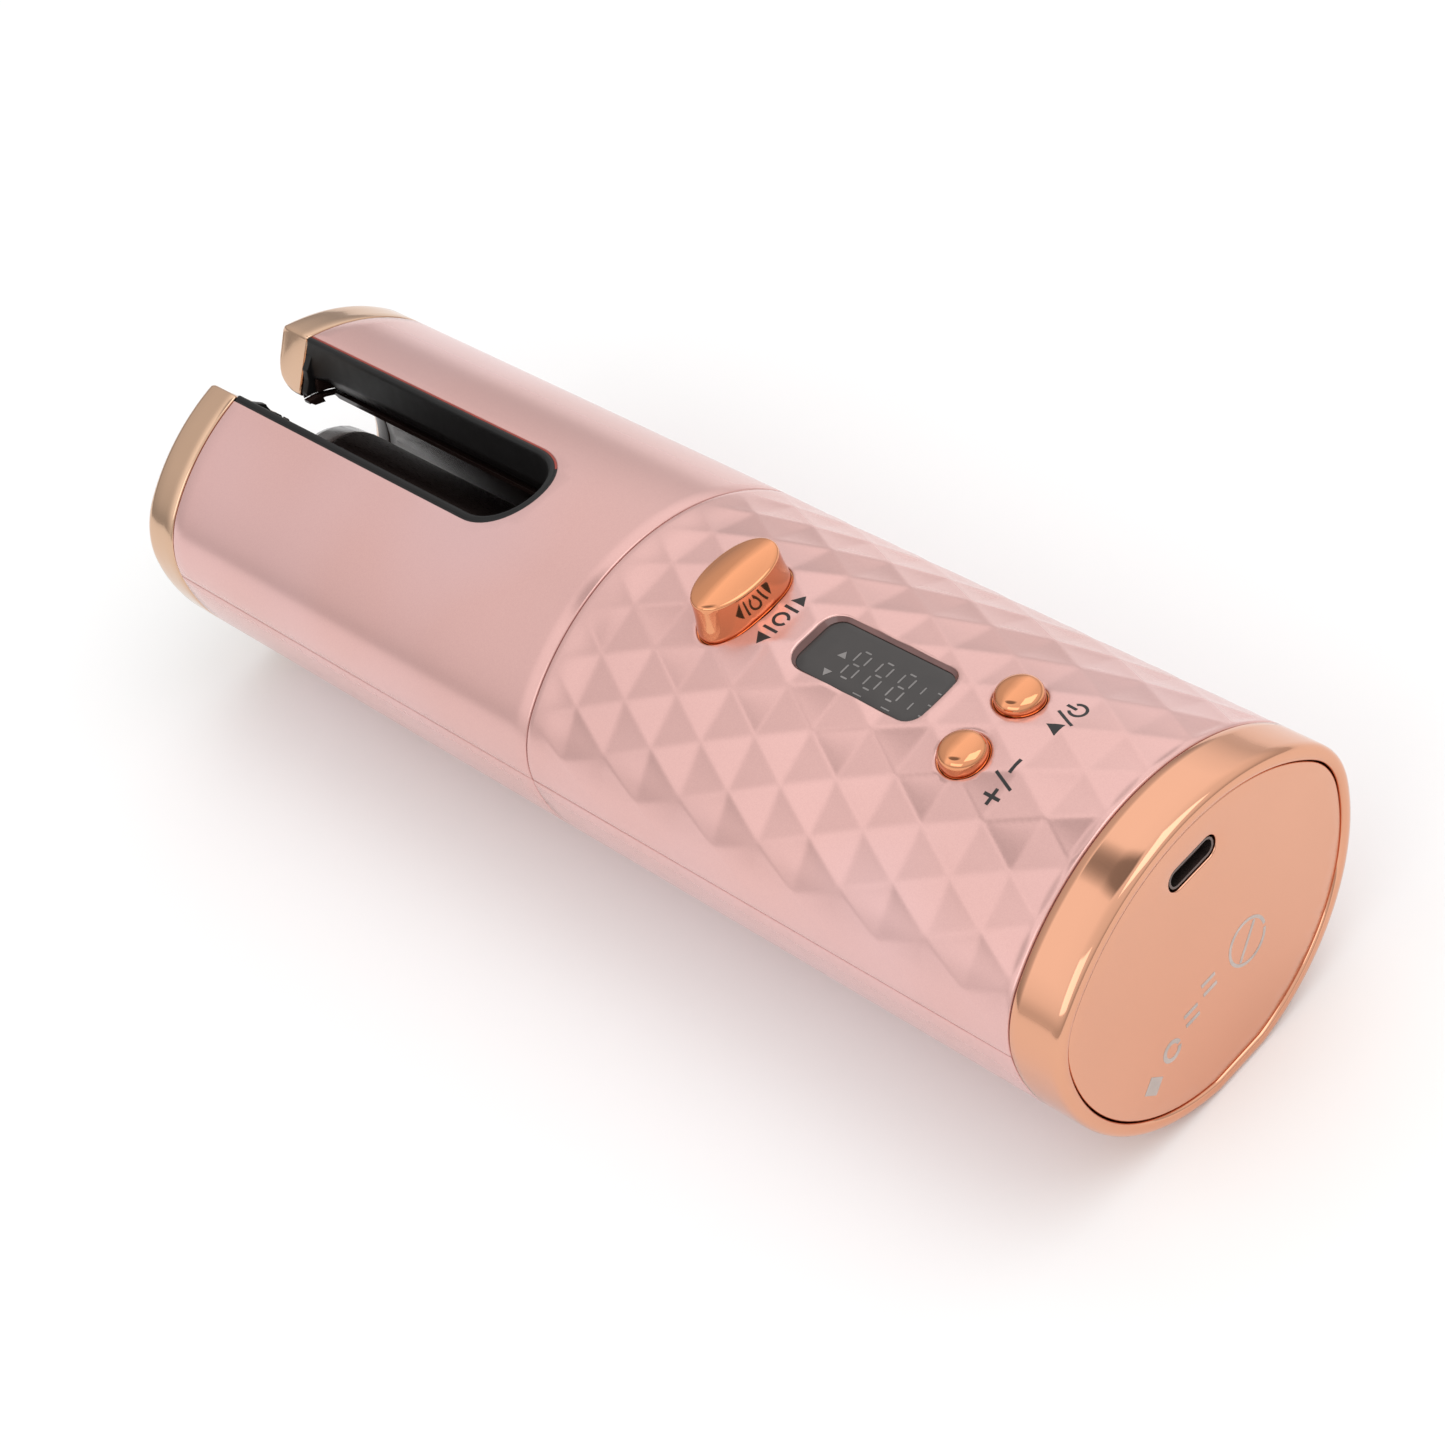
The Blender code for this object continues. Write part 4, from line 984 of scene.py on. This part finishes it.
def seven_bars(s, y, wide, high):
    """Seven slim bars of an upright digit: s is its middle along the body, y its middle across."""
    thin, gap = 0.14, 0.42
    made = []
    half_wide, half_high = wide / 2, high / 2
    for level in (-half_high, 0.0, half_high):
        made.append(hexagon((s - half_wide + gap, y + level), (s + half_wide - gap, y + level), thin))
    for side in (-half_wide, half_wide):
        for low in (-half_high, 0.0):
            made.append(hexagon((s + side, y + low + gap), (s + side, y + low + half_high - gap), thin))
    return made


def hexagon(start, end, half):
    """A slim bar with pointed ends."""
    a, b = Vector(start), Vector(end)
    along = (b - a).normalized() * half
    across = Vector((-along.y, along.x))
    corners = (a, a + along - across, b - along - across, b, b - along + across, a + along + across)
    return [tuple(corner) for corner in corners]


def flat_pieces(name, loops, surface, material):
    """Thin printed or inlaid shapes as one object on the body."""
    made = []
    for i, loop in enumerate(loops):
        made.append(patch(f"{name}_{i}", [loop], surface, 0.06, material, (0.6, 0.6), 0.0, 0.35))
    with bpy.context.temp_override(active_object=made[0], selected_editable_objects=made):
        bpy.ops.object.join()
    made[0].name = name
    made[0].data.name = name
    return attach(made[0], "body")


def bar(s, y, half_s, half_y, turn=0.0):
    """A printed bar (station, y), turned by an angle in degrees."""
    c, d = math.cos(math.radians(turn)), math.sin(math.radians(turn))
    corners = [(half_s, half_y), (-half_s, half_y), (-half_s, -half_y), (half_s, -half_y)]
    return [(s + a * c - b * d, y + a * d + b * c) for a, b in corners]


def ring_sector(s, y, outer, inner, start, end, steps=28):
    """A ring, open between its end and its start, in degrees."""
    angles = [math.radians(start + (end - start) * i / steps) for i in range(steps + 1)]
    out = [(s + outer * math.cos(a), y + outer * math.sin(a)) for a in angles]
    back = [(s + inner * math.cos(a), y + inner * math.sin(a)) for a in angles[::-1]]
    return out + back


def legends():
    """Generic printed symbols: turn-and-wind icons by the tall button, plus/minus, triangle and power."""
    s = START_SYMBOLS
    marks = [ring_sector(s, 0.0, 1.4, 0.9, 20, 340)]
    for side in (-1, 1):
        marks.append(bar(s, 2.35 * side, 1.35, 0.26))
        marks.append([(s, 5.5 * side), (s - 1.35 * side, 3.6 * side), (s + 1.35 * side, 3.6 * side)])
    s = ROUND_SYMBOLS
    marks += [bar(s, y, 2.0, 0.24, -22) for y in (-6.9, 6.5)]
    marks += [bar(s + along, -9.6, 0.55, 0.27) for along in (-0.82, 0.82)]
    marks += [bar(s, -9.6, 0.27, 1.35), bar(s, -4.2, 0.27, 1.3)]
    marks.append([(s - 1.35, 4.1), (s + 1.05, 5.35), (s + 1.05, 2.85)])
    marks.append(ring_sector(s + 0.15, 9.0, 1.5, 1.03, -140, 140))
    marks.append(bar(s - 0.95, 9.0, 0.85, 0.25))
    loops = [[(a, float(run_of(b))) for a, b in loop] for loop in marks]

    def printed(a, b, inset):
        return faceted_skin(a, b, np.asarray(inset) - PRINT_LIFT)

    flat_pieces("printed_symbols", loops, printed, INK)


# ------------ the charging end


# The rear band's closed profile: station and inset
BAND_PROFILE = [(196.1, 2.2), (196.1, 0.35), (196.17, 0.12), (196.35, 0.0), (197.5, 0.0), (199.0, 0.0)]
BAND_PROFILE += [(201.0, 0.0), (203.2, 0.0), (203.9, 0.05), (204.4, 0.22), (204.8, 0.55), (204.97, 1.0)]
BAND_PROFILE += [(205.0, 1.5), (204.95, 1.95), (204.75, 2.2), (204.4, 2.32), (203.0, 2.5), (202.0, 2.5)]

# The end plate: station of its face, inset of its edge, and the cut-out for the socket
PLATE_FACE = 204.6
PLATE_INSET = 2.55
PORT_HALF = (5.05, 2.0)
PORT_Z = 45.2

# Generic symbols printed on the end plate: across, height and kind
RATING_MARKS = [(-16.4, 14.0, "block"), (-11.6, 16.8, "ring"), (-6.6, 19.4, "bars"), (-2.2, 21.6, "bars")]
RATING_CIRCLE = (6.5, 22.0)


def rear_band():
    """Rose-gold band round the charging end."""
    runs = np.linspace(-HALF_RUN, HALF_RUN, 320, endpoint=False)
    lines = [points_of(s, *skin(runs, inset)) for s, inset in BAND_PROFILE]
    band = lofted("rear_band_polished", lines, ROSE_GOLD, smooth_angle=50)
    stands_for(band, "body", "rose_gold", "rear_band")


def end_plate():
    """The plate inside the band, with the charging socket."""
    y, z = skin(np.linspace(-HALF_RUN, HALF_RUN, 260, endpoint=False), PLATE_INSET)
    loops = [list(zip(y.tolist(), z.tolist())), shifted(rounded_box(*PORT_HALF, 1.9, 10), 0.0, PORT_Z)]
    plate = patch("end_plate_satin", loops, upright(PLATE_FACE), 1.9, ROSE_PLATE, (2.5, 2.5), 0.3, 0.9)
    stands_for(plate, "body", "rose_gold", "end_plate")
    stands_for(refined("usb_socket", "usb_socket_shell", SOCKET, 0.06), "body", "steel", "usb_socket")


def rating_marks():
    """Plain grey shapes where such a product carries its ratings."""
    marks = []
    for y, z, kind in RATING_MARKS:
        if kind == "ring":
            marks.append(ring_sector(y, z, 1.95, 1.2, 10, 350))
        elif kind == "block":
            marks.append(bar(y, z, 1.45, 1.45, 45))
        else:
            marks += [bar(y, z - 0.95, 1.5, 0.34), bar(y, z + 0.95, 1.5, 0.34)]
    marks.append(ring_sector(*RATING_CIRCLE, 4.1, 3.55, 0, 350, 48))
    marks.append(bar(*RATING_CIRCLE, 3.4, 0.28, 50))
    flat_pieces("rating_marks", marks, upright(PLATE_FACE + PRINT_LIFT), RATING_INK)


# ------------ the stage


# The camera: its place in metres, its right, up and backward directions, and its lens
CAMERA_PLACE = (0.32362, -0.19714, 0.38060)
CAMERA_RIGHT = (0.69474, 0.67416, -0.25070)
CAMERA_UP = (-0.37266, 0.63550, 0.67621)
CAMERA_BACK = (0.61519, -0.37636, 0.69274)
CAMERA_LENS = 82.303

# Softboxes, in metres and watts: name, place, size and power
LIGHTS = (
    ("overhead_softbox", (0.35, 0.25, 1.0), (0.8, 0.8), 2.2),
    ("front_softbox", (0.2, -0.95, 0.75), (0.9, 0.6), 1.6),
)
LIGHT_TARGET = (0, 0, 0.03)

# The world's brightness from the horizon to straight up, and from -X to +X; they are multiplied
WORLD_HEIGHTS = [(0.0, 0.62), (0.10, 0.60), (0.30, 0.86), (0.48, 1.0), (1.0, 1.0)]
WORLD_LENGTHS = [(0.0, 0.66), (0.160, 0.80), (0.225, 1.30), (0.45, 1.06), (1.0, 0.95)]
WORLD_STRENGTH = 0.98

# A small dark flag in the world: its direction, and the cosines over which it darkens
FLAG_DIRECTION = (-0.40, -0.05, 0.915)
FLAG = {"From Min": 0.978, "From Max": 0.992, "To Min": 1.0, "To Max": 0.25}

FLOOR_HALF = 4.0
FLOOR_WHITE = 0.93


def lights():
    """Two soft boxes."""
    for name, where, size, power in LIGHTS:
        light = bpy.data.lights.new(name, "AREA")
        light.shape = "RECTANGLE"
        light.size, light.size_y = size
        light.energy = power
        obj = place(name, light)
        obj.location = where
        obj.rotation_euler = (Vector(LIGHT_TARGET) - Vector(where)).to_track_quat("-Z", "Y").to_euler()


def camera():
    """The camera, at the view that the object is drawn from."""
    data = bpy.data.cameras.new("camera")
    data.lens = CAMERA_LENS
    data.clip_start = 0.01
    obj = place("camera", data)
    turn = Matrix((CAMERA_RIGHT, CAMERA_UP, CAMERA_BACK)).transposed().to_4x4()
    obj.matrix_world = Matrix.Translation(CAMERA_PLACE) @ turn
    bpy.context.scene.camera = obj


def floor():
    """A plain pale floor."""
    half = FLOOR_HALF
    mesh = bpy.data.meshes.new("floor")
    corners = [(-half, -half, 0), (half, -half, 0), (half, half, 0), (-half, half, 0)]
    mesh.from_pydata(corners, [], [(0, 1, 2, 3)])
    paint = Tree("pale_floor")
    paint.put(Base_Color=(FLOOR_WHITE, FLOOR_WHITE, FLOOR_WHITE, 1.0), Roughness=0.9)
    mesh.materials.append(paint.material)
    place("floor", mesh)


def studio():
    """A pale world, graded by height and by length, with one dark flag."""
    world = bpy.data.worlds.new("studio")
    bpy.context.scene.world = world
    t = Nodes(world)
    direction = t.add("ShaderNodeTexCoord").outputs["Generated"]
    parts = t.add("ShaderNodeSeparateXYZ")
    t.link(direction, parts.inputs["Vector"])
    spread = t.add("ShaderNodeMapRange")
    spread.inputs["From Min"].default_value = -1.0
    t.link(parts.outputs["X"], spread.inputs["Value"])
    product = t.add("ShaderNodeVectorMath", operation="MULTIPLY")
    graded = ((parts.outputs["Z"], WORLD_HEIGHTS), (spread.outputs["Result"], WORLD_LENGTHS))
    for i, (source, stops) in enumerate(graded):
        greys = [(position, (grey, grey, grey)) for position, grey in stops]
        t.link(t.ramp(source, greys), product.inputs[i])
    facing = t.add("ShaderNodeVectorMath", operation="DOT_PRODUCT")
    facing.inputs[1].default_value = Vector(FLAG_DIRECTION).normalized()
    t.link(direction, facing.inputs[0])
    flag = t.add("ShaderNodeMapRange")
    for socket, value in FLAG.items():
        flag.inputs[socket].default_value = value
    t.link(facing.outputs["Value"], flag.inputs["Value"])
    shaded = t.add("ShaderNodeVectorMath", operation="SCALE")
    t.link(product.outputs["Vector"], shaded.inputs[0])
    t.link(flag.outputs["Result"], shaded.inputs["Scale"])
    background = t.tree.nodes["Background"]
    t.link(shaded.outputs["Vector"], background.inputs["Color"])
    background.inputs["Strength"].default_value = WORLD_STRENGTH


paint_frame()
tip_ring()
head_shells()
slot_liner()
liner_plates()
seam_line()
chamber()
handle_shells()
buttons()
well_trims()
display_frame()
display()
legends()
rear_band()
end_plate()
rating_marks()
camera()
floor()
studio()
lights()
bpy.context.scene.view_settings.view_transform = "Standard"
